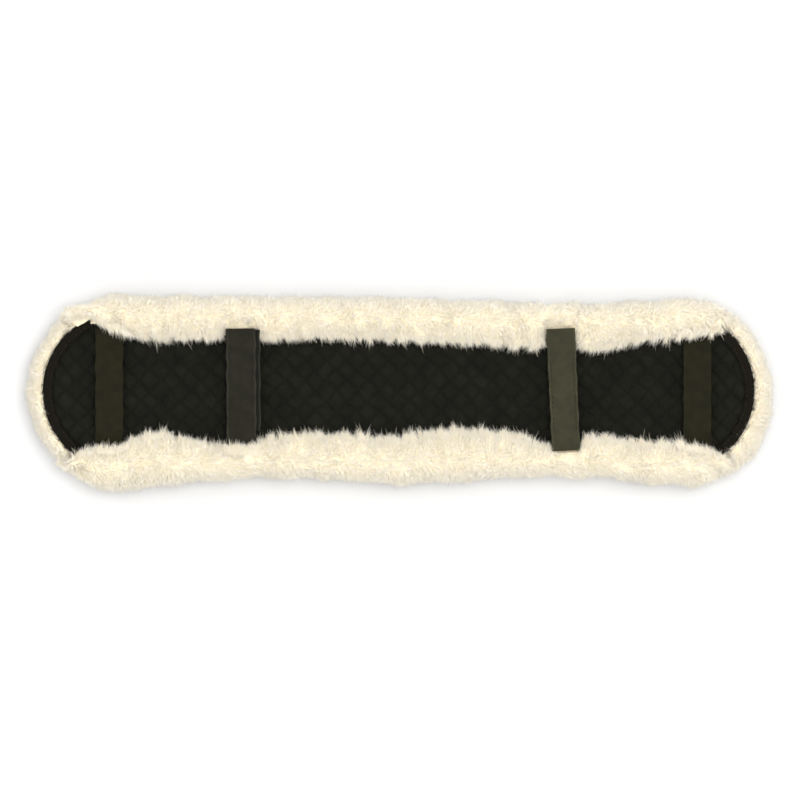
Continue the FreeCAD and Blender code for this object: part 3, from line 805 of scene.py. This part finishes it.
def fold_tufts(end, seed):
    """Locks of the front roll's wool that lie back over the fold of a closure's upper strap."""
    random = np.random.default_rng(seed)
    w = np.arange(-14.5, 15.6, 1.2)
    w = w + random.uniform(-0.4, 0.4, len(w))
    back = 49.6 - random.uniform(0, 2.0, len(w)) - 1.5 * smooth((w - 7) / 4)
    tips = in_closure(end, (w + 1.2)[:, None], -back[:, None], 47.1)
    spread = random.normal(size=(3, len(w), int(46 * SHARE) + 4))[..., None]
    rear = 55.6 + 2.6 * np.abs(spread[1])
    bases = in_closure(end, w[:, None, None] + 0.9 * spread[0], -rear, 44.4 + 0.5 * spread[2])
    lock_strands(end + "_fold_tufts", bases, tips, random, loose=(0.8, 0.8, 0.35), reach=(0.8, 1.1),
                 width=(0.34, 0.46), crimp=0.3, clear=False)


for side, place in SIDES.items():
    wisps(place + "_edge_wisps", side, 201 + side)
fold_tufts("left", 207)

for end, place in ((1, "right"), (-1, "left")):
    grid = rim_core(end)
    core_piece(place + "_rim_wool_core", grid)

    def beyond_panel(points, normals):
        out = np.hypot(np.abs(points[:, 0]) - ARC_X, points[:, 1]) - BINDING_OUTER
        z = points[:, 2]
        return (out > 0) & ((out > 1.8) | (z > 31.5)) | (z < 4.5)

    def outwards(points, normals, end=end):
        centre = np.array([end * LOOP_X, 0, points[:, 2].mean()])
        return unit((points - centre) * np.array([1, 1, 0])) - 0.35 * UP

    grow(place + "_rim_wool", grid, beyond_panel, outwards, count=30000, seed=91 + end, length=(5.0, 6.8))


def facing_down(points, normals):
    return points[:, 2] < 8.0


def any_way(points, normals):
    return np.stack([bumps(points, 40.0, 98), bumps(points, 40.0, 99), 0 * points[:, 0]], -1)


grid = under_core()
core_piece("underside_wool_core", grid, "underside_fleece")
grow("underside_wool", grid, facing_down, any_way, count=38000, seed=97, length=(4.4, 6.4), width=(1.0, 1.3),
     size=7.0, lean=1.3)

# -------------------------------------------------------------------- quilted panel

QUILT_PITCH = 13.2
QUILT_CELLS = 8
CROWN = QUILT_TOP + 0.6
PRESSED = QUILT_TOP - 0.6
QUILT_THICK = 0.8
SEAM_Y = 49.0
BINDING_WIDTH = 8.0
BINDING_INNER = PANEL_END_RADIUS + 0.1 - BINDING_WIDTH
SIM_SCALE = 0.1
SIM_FRAMES = 18
SIM_SETTINGS = {"quality": 5, "mass": 0.15, "tension_stiffness": 18, "compression_stiffness": 18,
                "shear_stiffness": 8, "bending_stiffness": 0.08, "shrink_min": -0.07, "use_pressure": True,
                "uniform_pressure_force": 5.0}


def end_distance(x, y):
    """How far a point lies out from the centre of the nearer end arc, or 0 between the arcs."""
    beyond = np.maximum(np.abs(x) - ARC_X, 0)
    return np.where(beyond > 0, np.hypot(beyond, y), 0)


def drawn(x, y):
    """Where points of an even pattern lie once the sewing has drawn the cloth a little out of true."""
    place = np.stack([x, y], -1)
    return x + 0.8 * bumps(place, 34.0, 301), y + 0.8 * bumps(place, 34.0, 302)


def quilt_lattice():
    """A grid along the stitch lines: the points, how many steps along each way they are, and quads."""
    step = QUILT_PITCH / QUILT_CELLS
    reach = int((PANEL_APEX + PANEL_HALF_WIDTH) / math.sqrt(2) / step) + 2
    k = np.arange(-reach, reach + 1)
    i, j = np.meshgrid(k, k, indexing="ij")
    x = (i - j) * step / math.sqrt(2)
    y = (i + j) * step / math.sqrt(2)
    inside = (np.abs(y) < PANEL_HALF_WIDTH - 3) & (end_distance(x, y) < PANEL_END_RADIUS - 2.5)
    inside &= np.abs(x) < PANEL_APEX
    index = np.arange(x.size).reshape(x.shape)
    quads = np.stack([index[:-1, :-1], index[1:, :-1], index[1:, 1:], index[:-1, 1:]], -1).reshape(-1, 4)
    whole = inside.ravel()[quads].all(1)
    used, quads = np.unique(quads[whole], return_inverse=True)
    x, y = drawn(x.ravel()[used], y.ravel()[used])
    return x, y, i.ravel()[used], j.ravel()[used], quads.reshape(-1, 4)


def quilt_height(x, y, i, j):
    """The puffed face without a simulation, and True where the stitching holds it down."""
    u = (i % QUILT_CELLS) / QUILT_CELLS
    v = (j % QUILT_CELLS) / QUILT_CELLS
    puff = (np.sin(math.pi * u) * np.sin(math.pi * v)) ** 0.55
    held = (i % QUILT_CELLS == 0) | (j % QUILT_CELLS == 0)
    edge = (np.abs(y) > SEAM_Y) | (end_distance(x, y) > BINDING_INNER - 0.5)
    height = VALLEY + (CROWN - VALLEY) * puff * (0.9 + 0.1 * bumps(np.stack([x, y], -1), 30.0, 7))
    return np.where(edge, np.minimum(height, PRESSED), height), held | edge


def simulated(x, y, height, held, quads):
    """The face blown up against its stitch lines by Blender's cloth, in millimetres."""
    start = np.stack([x, y, np.where(held, height, height * 0.5 + VALLEY * 0.5)], -1)
    piece = add_mesh("quilt_sim", start, [quads], [])
    piece.data.vertices.foreach_set("co", (start * SIM_SCALE).astype(np.float32).ravel())
    group = piece.vertex_groups.new(name="stitched")
    group.add(np.flatnonzero(held).tolist(), 1.0, "REPLACE")
    cloth = piece.modifiers.new("Cloth", "CLOTH")
    cloth.settings.vertex_group_mass = "stitched"
    for setting, value in SIM_SETTINGS.items():
        setattr(cloth.settings, setting, value)
    cloth.settings.effector_weights.gravity = 0
    cloth.collision_settings.use_collision = False
    cloth.point_cache.frame_start = 1
    cloth.point_cache.frame_end = SIM_FRAMES
    for frame_number in range(1, SIM_FRAMES + 1):
        bpy.context.scene.frame_set(frame_number)
    blown = piece.evaluated_get(bpy.context.evaluated_depsgraph_get()).to_mesh()
    points = np.empty(len(blown.vertices) * 3, np.float32)
    blown.vertices.foreach_get("co", points)
    bpy.data.objects.remove(piece)
    bpy.context.scene.frame_set(1)
    return points.reshape(-1, 3).astype(float) / SIM_SCALE


def closed_sheet(top, lower, quads):
    """Points and faces of a closed layer from its upper and lower points, with walls between."""
    edges = np.concatenate([quads[:, [k, (k + 1) % 4]] for k in range(4)])
    keys = edges[:, 0].astype(np.int64) * len(top) + edges[:, 1]
    back = edges[:, 1].astype(np.int64) * len(top) + edges[:, 0]
    rim = edges[~np.isin(keys, back)]
    walls = np.stack([rim[:, 1], rim[:, 0], rim[:, 0] + len(top), rim[:, 1] + len(top)], -1)
    return np.concatenate([top, lower]), np.concatenate([quads, quads[:, ::-1] + len(top), walls])


def panel_layers():
    """The quilted face, the wadding that fills it and the felt below, on one lattice."""
    x, y, i, j, quads = quilt_lattice()
    height, held = quilt_height(x, y, i, j)
    top = np.stack([x, y, height], -1)
    moved = np.clip(simulated(x, y, height, held, quads) - top, -1.6, 1.6)
    top = top + np.where(held[:, None], 0, moved)
    rise = np.maximum(top[:, 2] - VALLEY, 0)
    room = np.where(np.abs(y) > SEAM_Y, PRESSED - VALLEY, CROWN - VALLEY)
    top[:, 2] = VALLEY + room * np.tanh(rise / room)

    def level(z):
        return top * np.array([1, 1, 0]) + z * UP

    def layer(name, node, slot, material, upper, lower):
        points, faces = closed_sheet(upper, lower, quads)
        piece = add_mesh(name, points, [faces], [material])
        settle(piece, slot, node)

    under = top - QUILT_THICK * UP
    layer("quilted_face", "quilt_cover", "quilted_cotton", QUILT, top, under)
    wadding_low = node_box("quilt_wadding")[0][2] + 0.1
    layer("wadding_layer", "quilt_wadding", "wadding", WADDING, under - 0.1 * UP, level(wadding_low))
    felt_low, felt_high = (corner[2] for corner in node_box("felt_pad"))
    felt_top = level(felt_high - 0.4) + 0.12 * (top[:, 2:] - VALLEY) * UP
    layer("felt_layer", "felt_pad", "felt", FELT, felt_top, level(felt_low + 0.05))


panel_layers()

# -------------------------------------------------------------------- threads


def thread_piece(name, node, body, middles, angles, material, length, thick, sag):
    """A row of stitches: each a short rounded thread whose ends dip into the cloth by sag."""
    t = np.array([-1.0, -0.75, 0.0, 0.75, 1.0])
    swell = np.array([0.45, 0.9, 1.0, 0.9, 0.45])
    corners = 6
    count = len(middles)
    angles = np.broadcast_to(angles, count)
    along = np.stack([np.cos(angles), np.sin(angles), np.zeros(count)], -1)
    side = unit(np.cross(UP, along))
    up = np.cross(along, side)
    points = np.empty((count, len(t), corners, 3))
    for k, value in enumerate(t):
        centre = middles + along * (value * length / 2) - up * (sag * value**2)
        for corner in range(corners):
            turn = 2 * math.pi * corner / corners
            offset = math.cos(turn) * side + math.sin(turn) * up
            points[:, k, corner] = centre + thick / 2 * swell[k] * offset
    starts = (np.arange(count) * len(t) * corners)[:, None, None]
    faces = [(f[None] + starts).reshape(-1, f.shape[1]) for f in tube_faces(len(t), corners)]
    settle(add_mesh(name, points.reshape(-1, 3), faces, [material]), "thread", node, body=body)


def quilting_stitches(way, direction):
    """Lockstitches in the valleys of the quilting. direction is 1 for lines that rise towards +X."""
    spacing = 3.3
    angle = direction * math.pi / 4
    reach = int((PANEL_APEX + 60) / (QUILT_PITCH * math.sqrt(2))) + 1
    random = np.random.default_rng(110 + direction)
    middles = []
    for line in range(-reach, reach + 1):
        s = np.arange(-66.0, 66.0, spacing) + random.uniform(0, spacing)
        x = line * QUILT_PITCH * math.sqrt(2) + s * math.cos(angle)
        y = s * math.sin(angle) + random.normal(0, 0.08, len(s))
        x, y = drawn(x, y)
        middles.append(np.stack([x, y, np.full(len(s), VALLEY + 0.30)], -1))
    middles = np.concatenate(middles)
    x, y, _ = middles.T
    seen = (np.abs(y) < SEAM_Y - 1.5) & (end_distance(x, y) < BINDING_INNER - 2) & (np.abs(x) < PANEL_APEX)
    thread_piece("quilting_stitches_" + way, "quilting_thread_" + way, "cover", middles[seen], angle,
                 DARK_THREAD, length=2.5, thick=0.42, sag=0.35)


quilting_stitches("rising", 1)
quilting_stitches("falling", -1)

# -------------------------------------------------------------------- end bindings

# Where each binding starts and ends, in degrees round its arc from the front to the rear.
BINDING_REACH = {"left": (-53, 63), "right": (-53, 53)}
SEAM_CLEAR = 0.085


def end_binding(end):
    """Tape folded over an end's edge, whose inner edge puckers a little round the curve, and its seam."""
    place = "right" if end > 0 else "left"
    first, last = (math.radians(angle) for angle in BINDING_REACH[place])
    turn = np.linspace(first, last, 220)
    low, high = node_box(place + "_end_binding")
    inner, outer = BINDING_INNER, BINDING_OUTER
    bottom, top = low[2], high[2]
    thick = 0.8
    section = np.array([
        (inner, top - 0.15), (inner + 0.4, top), (inner + 3.5, top + 0.15), (outer - 1.6, top + 0.1),
        (outer - 0.3, top - 0.7), (outer, top - 2.5), (outer, bottom + 2.5), (outer - 0.3, bottom + 0.6),
        (outer - 1.6, bottom), (inner + 0.4, bottom), (inner, bottom + 0.15), (inner + 0.1, bottom + thick),
        (outer - 2.2, bottom + thick), (outer - thick, bottom + 2.6), (outer - thick, top - 2.6),
        (outer - 2.2, top - thick), (inner + 0.1, top - thick),
    ])
    grid = np.empty((len(turn), len(section), 3))
    pucker = bumps(turn[:, None] * 60, 3.1, 120 + end) * 0.22
    drift = bumps(turn[:, None] * 60, 14.0, 122 + end) * 0.35
    near_inner = smooth((inner + 5 - section[:, 0]) / 5)
    radius = section[None, :, 0] + near_inner * drift[:, None]
    grid[..., 0] = end * (ARC_X + radius * np.cos(turn)[:, None])
    grid[..., 1] = radius * np.sin(turn)[:, None]
    on_top = section[:, 1] > (top + bottom) / 2
    crown = np.where(on_top, 1.0, -1.0) * (section[:, 0] < outer - 1)
    grid[..., 2] = section[None, :, 1] + crown * (pucker[:, None] * (0.35 + 0.65 * near_inner))
    piece = tube(place + "_binding", grid, [BINDING], sharp=50)
    settle(piece, "binding_tape", place + "_end_binding")

    stitch_radius = inner + 1.8
    step = 4.4 / stitch_radius
    steps = np.arange(math.ceil((first + SEAM_CLEAR) / step), int((last - SEAM_CLEAR) / step) + 1)
    random = np.random.default_rng(130 + end)
    angles = steps * step + random.normal(0, 0.004, len(steps))
    x = end * (ARC_X + stitch_radius * np.cos(angles))
    lift = top + 0.2 + np.interp(angles, turn, pucker) * 0.8
    middles = np.stack([x, stitch_radius * np.sin(angles), lift], -1)
    facing = np.where(end > 0, angles + math.pi / 2, math.pi / 2 - angles)
    thread_piece(place + "_binding_seam", place + "_binding_stitches", "cover", middles, facing,
                 BINDING_THREAD, length=3.3, thick=0.6, sag=0.25)


for end in (1, -1):
    end_binding(end)

# -------------------------------------------------------------------- tapes

TAPE_WIDTH = 25.0
LOOP_TAPE_WIDTH = 24.0
TAPE_STEP = 0.8
RIB_DEPTH = 0.22
TAPE_BEND = 6.0
SEAT = FLANGE_TOP + 0.2
HOOK_LINE = [(-43, SEAT + 0.7), (-53.2, SEAT + 0.7), (-53.2, 44.5), (-38, 46.9), (36, 46.9), (45, 49.8),
             (56, 51.4)]
LOOP_LINE = [(43, SEAT + 0.6), (53.0, SEAT + 0.6), (53.0, 43.25), (44, 43.2), (1.5, 43.2)]
HOOK_TAPE_LINE = {
    "left": [(-36, 45.75), (36, 45.75), (45.4, 48.6), (54.9, 50.1)],
    "right": [(-36, 45.75), (36, 45.75), (45.4, 48.6), (50.9, 49.5)],
}
LOOP_TAPE_LINE = [(2.5, 44.2), (36, 44.2)]
ELASTIC_LINE = [(0, QUILT_TOP + 6.2), (36, QUILT_TOP + 6.2), (47, SEAT + 0.65), (56.5, SEAT + 0.65)]
# The upper straps' widths, and how far they and their hook sides lie off the closures' middles.
STRAP_FIT = {"left": (26.6, 0.8), "right": (25.4, 0.0)}
HOOK_SHIFT = {"left": 5.5, "right": 0.0}
STRAP_SEAM_X = 10.2
STRAP_SEAM_Y = 34.0
STRAP_SEAM_Z = 47.72
STRAP_STITCH = 4.8


def rounded_line(points, radius, spacing):
    """Points and directions at even spacing along a (y, z) line with rounded corners, and its length."""
    points = [np.array(p, float) for p in points]
    dense = [points[0]]
    for before, corner, after in zip(points, points[1:], points[2:]):
        arrive, leave = unit(corner - before), unit(after - corner)
        turn = math.acos(float(np.clip(arrive @ leave, -1, 1)))
        room = 0.49 * min(np.linalg.norm(corner - before), np.linalg.norm(after - corner))
        reach = min(radius * math.tan(turn / 2), room)
        first, last = corner - arrive * reach, corner + leave * reach
        for t in np.linspace(0, 1, max(3, int(turn * radius / 0.35))):
            dense.append((1 - t) ** 2 * first + 2 * t * (1 - t) * corner + t**2 * last)
    dense.append(points[-1])
    dense = np.array(dense)
    gaps = np.linalg.norm(np.diff(dense, axis=0), axis=1)
    dense = dense[np.concatenate([[True], gaps > 1e-4])]
    run = np.concatenate([[0], np.cumsum(np.linalg.norm(np.diff(dense, axis=0), axis=1))])
    even = np.linspace(0, run[-1], max(2, int(run[-1] / spacing) + 1))
    line = np.stack([np.interp(even, run, dense[:, k]) for k in (0, 1)], -1)
    return line, unit(np.gradient(line, axis=0)), run[-1]


def tape_section(width, thickness, ribs=0, selvedge=0.12):
    """Half thickness across a tape: (places, upper, lower), with rounded edges and raised selvedges."""
    if ribs:
        w = np.linspace(-1, 1, 12 * ribs + 1)
    else:
        w = np.sin(np.linspace(-1, 1, 41) * math.pi / 2 * 0.999)
    edge = np.clip((np.abs(w) - 0.955) / 0.045, 0, 1)
    half = thickness / 2 * np.sqrt(np.maximum(1 - edge**2, 0.06))
    ridge = selvedge * np.exp(-(((np.abs(w) - 0.9) / 0.045) ** 2)) * (edge < 1)
    if ribs:
        ridge = ridge + RIB_DEPTH * (np.abs(np.cos(math.pi * ribs * (w + 1) / 2)) - 0.6) * (1 - edge)
    return w * width / 2, half + ridge, half + ridge * 0.6


def tape(name, line, materials, radius, thickness, seed, x=0.0, end=None, width=TAPE_WIDTH, waves=0.0,
         shift=0.0, **section):
    """A woven tape along a (y, z) line whose bends have a radius. Returns (piece, length).

    It lies at x, or in the closure at end, moved sideways by shift. materials are for the tape and,
    if there is a second one, for its selvedges. waves is the height of its unevenness.
    """
    centre, direction, length = rounded_line(line, radius, TAPE_STEP)
    w, upper, lower = tape_section(width, thickness, **section)
    normal = np.stack([-direction[:, 1], direction[:, 0]], -1)
    around = np.concatenate([w, w[::-1]])
    height = np.concatenate([upper, -lower[::-1]])
    flutter = waves * bumps(centre, 16.0, 140 + seed)
    wander = 0.25 * bumps(centre[:, :1], 22.0, 150 + seed)
    grid = np.empty((len(centre), len(around), 3))
    grid[..., 0] = shift + around[None] + wander[:, None]
    rise = height[None] + flutter[:, None]
    grid[..., 1] = centre[:, :1] + normal[:, :1] * rise
    grid[..., 2] = centre[:, 1:] + normal[:, 1:] * rise
    points = grid.reshape(-1, 3)
    if end is None:
        points = points + np.array([x, 0, 0])
    else:
        points = in_closure(end, points[:, :1], points[:, 1:2], points[:, 2:])
    faces = tube_faces(*grid.shape[:2])
    shade = np.zeros(sum(len(f) for f in faces), int)
    # Faces near the edges take the second material where there is one: the selvedge with its painted
    # highlight.
    selvedges = np.tile(np.abs(around) > 0.43 * width, len(centre) - 1)
    shade[:len(faces[0])] = selvedges * (len(materials) - 1)
    piece = add_mesh(name, points, faces, materials, shade)
    piece.data.set_sharp_from_angle(angle=math.radians(55))
    return piece, length


def bend_between(piece):
    """Bakes the placement of a closure's strap into its mesh."""
    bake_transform(piece)


for n, end in enumerate(ENDS):
    for side, place in SIDES.items():
        line = [(side * y, z) for y, z in ELASTIC_LINE]
        piece, length = tape(f"{end}_elastic_{place}", line, [ELASTIC], radius=9.0, thickness=1.25,
                             seed=n * 10 + side, x=ELASTIC_X[end], waves=0.1, ribs=9)
        settle(piece, "elastic_tape", end + "_end_elastic", body=None)
        x = ELASTIC_X[end] * MM
        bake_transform(piece)

    width, shift = STRAP_FIT[end]
    upper, length = tape(end + "_hook_leaf_strap", HOOK_LINE, [STRAP[end], SELVEDGE_AND_HIGHLIGHT[end]], radius=2.2,
                         thickness=1.35, seed=20 + n, end=end, width=width, waves=0.06, shift=shift,
                         selvedge=0.2)
    settle(upper, "strap_tape", end + "_hook_strap", end + "_hook_strap_root", body=None)
    bend_between(upper)

    lower, length = tape(end + "_loop_leaf_strap", LOOP_LINE, [STRAP[end]], radius=2.0, thickness=1.15,
                         seed=30 + n, end=end, waves=0.12)
    settle(lower, "strap_tape", end + "_loop_strap", end + "_loop_strap_root", body=None)
    bend_between(lower)

# -------------------------------------------------------------------- hook and loop sides


def along_tape(line, end, random, rows, columns, half_width, shift):
    """Places all over a tape's face, with its normals, in the closure's own position."""
    centre, direction, _ = rounded_line(line, TAPE_BEND, 0.5)
    s = np.linspace(0.5, len(centre) - 1.5, rows)
    w = np.linspace(-half_width, half_width, columns)
    s, w = (field.ravel() for field in np.meshgrid(s, w, indexing="ij"))
    s = s + random.uniform(-0.4, 0.4, len(s))
    w = w + random.uniform(-0.15, 0.15, len(w)) + shift
    steps = np.arange(len(centre))
    y, z, along_y, along_z = (np.interp(s, steps, field)[:, None] for field in (*centre.T, *direction.T))
    _, _, along = closure_frame(end)
    return in_closure(end, w[:, None], y, z), -along_z * along + along_y * UP


for n, end in enumerate(ENDS):
    random = np.random.default_rng(160 + n)
    leaf = JOINTS[end + "_hook_fold"]["child"]
    base, length = tape(end + "_hook_side_tape", HOOK_TAPE_LINE[end], [SHADED_HOOK_BASE, HOOK_SELVEDGE],
                        radius=TAPE_BEND, thickness=0.6, seed=40 + n, end=end, shift=HOOK_SHIFT[end])
    settle(base, "hook_side", end + "_hook_tape", body=leaf)
    points, normals = along_tape(HOOK_TAPE_LINE[end], end, random, rows=84, columns=23, half_width=11.4,
                                 shift=HOOK_SHIFT[end])
    sizes = np.full(len(points), 0.62), np.full(len(points), 0.34)
    hooks = strand_mesh(end + "_hooks", points - 0.22 * normals, -normals, -normals, *sizes, random,
                        crimp=0.1, materials=[HOOK_NYLON])
    settle(hooks, "hook_side", body=leaf)

    y = np.arange(-STRAP_SEAM_Y, STRAP_SEAM_Y + 0.1, STRAP_STITCH)[:, None]
    rows = []
    for x in (-STRAP_SEAM_X, STRAP_SEAM_X):
        rows.append(in_closure(end, x + random.normal(0, 0.12, y.shape), y, STRAP_SEAM_Z))
    _, _, along = closure_frame(end)
    thread_piece(end + "_strap_seam", end + "_hook_strap_stitches", leaf, np.concatenate(rows),
                 math.atan2(along[1], along[0]), DARK_THREAD, length=3.2, thick=0.5, sag=0.3)

    leaf = JOINTS[end + "_loop_fold"]["child"]
    base, length = tape(end + "_loop_side_tape", LOOP_TAPE_LINE, [LOOP_NYLON], radius=TAPE_BEND,
                        thickness=0.5, seed=50 + n, end=end, width=LOOP_TAPE_WIDTH)
    settle(base, "loop_side", end + "_loop_tape", body=leaf)
    points, normals = along_tape(LOOP_TAPE_LINE, end, random, rows=70, columns=46, half_width=11.2, shift=0)
    lying = unit(random.normal(size=points.shape) * np.array([1, 1, 0.15]) + 0.25 * normals)
    sizes = random.uniform(0.9, 1.5, len(points)), np.full(len(points), 0.16)
    fuzz = strand_mesh(end + "_loops", points + 0.2 * normals, lying, normals, *sizes, random, rings=2,
                       crimp=0.2, materials=[LOOP_NYLON])
    settle(fuzz, "loop_side", body=leaf)

# -------------------------------------------------------------------- hide and other CAD nodes

HIDE_INNER = 50.3


def roll_hide(side):
    """The turned strip of hide inside a roll: up the panel's side and over onto the quilting."""
    place = SIDES[side]
    low, high = node_box(place + "_roll_hide")
    x = np.linspace(low[0] + 0.5, high[0] - 0.5, 200)
    taper = smooth((np.abs(x) - 250) / 16)
    inner = HIDE_INNER + 11.5 * taper + 0.3 * bumps(x[:, None], 12.0, 170 + side)
    top, under = high[2] - 0.1, high[2] - 1.65
    outer, wall = 65.8, 64.3
    foot = low[2] + 0.4
    ring = [(outer, foot), (outer, 33.2), (outer - 0.6, 36.0), (outer - 2.2, top - 0.9), (outer - 5.2, top),
            (inner, top), (inner, under), (wall - 1.6, under), (wall, under - 1.0), (wall, foot)]
    grid = np.stack([np.stack(np.broadcast_arrays(x, side * y, z), -1) for y, z in ring], 1)
    piece = tube(place + "_turned_hide", grid, [SUEDE], sharp=60)
    settle(piece, "sheepskin_hide", place + "_roll_hide")


for side in SIDES:
    roll_hide(side)

NODE_SURFACES = {"hide_panel": SUEDE, "quilt_lining": LINING, "rear_seam_stitches": DARK_THREAD,
                 "front_seam_stitches": DARK_THREAD}
for node, material in NODE_SURFACES.items():
    mesh = frame["nodes"][node].data
    mesh.materials.clear()
    mesh.materials.append(material)

# -------------------------------------------------------------------- floor, light, camera

FLOOR_SIZE = 6000.0
FLOOR_THICK = 10.0
VIEW_WIDTH = 0.720
VIEW_SHIFT_X = 0.0013
VIEW_SHIFT_Y = -0.0081
LENS = 200.0
SENSOR = 36.0
KEY_PLACE = (0.7, 0.35, 3.55)
KEY_SIZE = 2.0
KEY_POWER = 56.0
WORLD_STRENGTH = 1.50


def floor_material():
    s = Surface("floor_paper", roughness=0.95, Specular_IOR_Level=0.1)
    s.colour(s.noise(60.0), (0.3, (0.63, 0.63, 0.63, 1)), (0.7, (0.64, 0.64, 0.64, 1)))
    s.bump(s.noise(2.0), 0.02)
    return s.material


def add_object(name, data, place):
    made = bpy.data.objects.new(name, data)
    bpy.context.scene.collection.objects.link(made)
    made.location = place
    return made


half = FLOOR_SIZE / 2
corners = np.array([(x, y, z) for z in (-FLOOR_THICK, 0.0) for y in (-half, half) for x in (-half, half)])
walls = np.array([(0, 2, 3, 1), (4, 5, 7, 6), (0, 1, 5, 4), (2, 6, 7, 3), (0, 4, 6, 2), (1, 3, 7, 5)])
add_mesh("floor", corners, [walls], [floor_material()], smooth_faces=False)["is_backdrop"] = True

light = bpy.data.lights.new("key", "AREA")
light.shape = "DISK"
light.size = KEY_SIZE
light.energy = KEY_POWER
lamp = add_object("key", light, KEY_PLACE)
lamp.rotation_mode = "QUATERNION"
lamp.rotation_quaternion = (-Vector(KEY_PLACE)).to_track_quat("-Z", "Y")

world = bpy.data.worlds.new("studio")
world.use_nodes = True
world.node_tree.nodes["Background"].inputs["Color"].default_value = (1.0, 1.0, 1.0, 1.0)
world.node_tree.nodes["Background"].inputs["Strength"].default_value = WORLD_STRENGTH
bpy.context.scene.world = world
bpy.context.scene.view_settings.view_transform = "Standard"

camera_data = bpy.data.cameras.new("camera")
camera_data.lens = LENS
camera_data.sensor_width = SENSOR
camera_height = VIEW_WIDTH * LENS / SENSOR + QUILT_TOP * MM
camera = add_object("camera", camera_data, (VIEW_SHIFT_X, VIEW_SHIFT_Y, camera_height))
bpy.context.scene.camera = camera

visual_low, visual_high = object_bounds()
sizes = {"cad": [list(cad_low), list(cad_high)], "visual": [list(visual_low), list(visual_high)]}
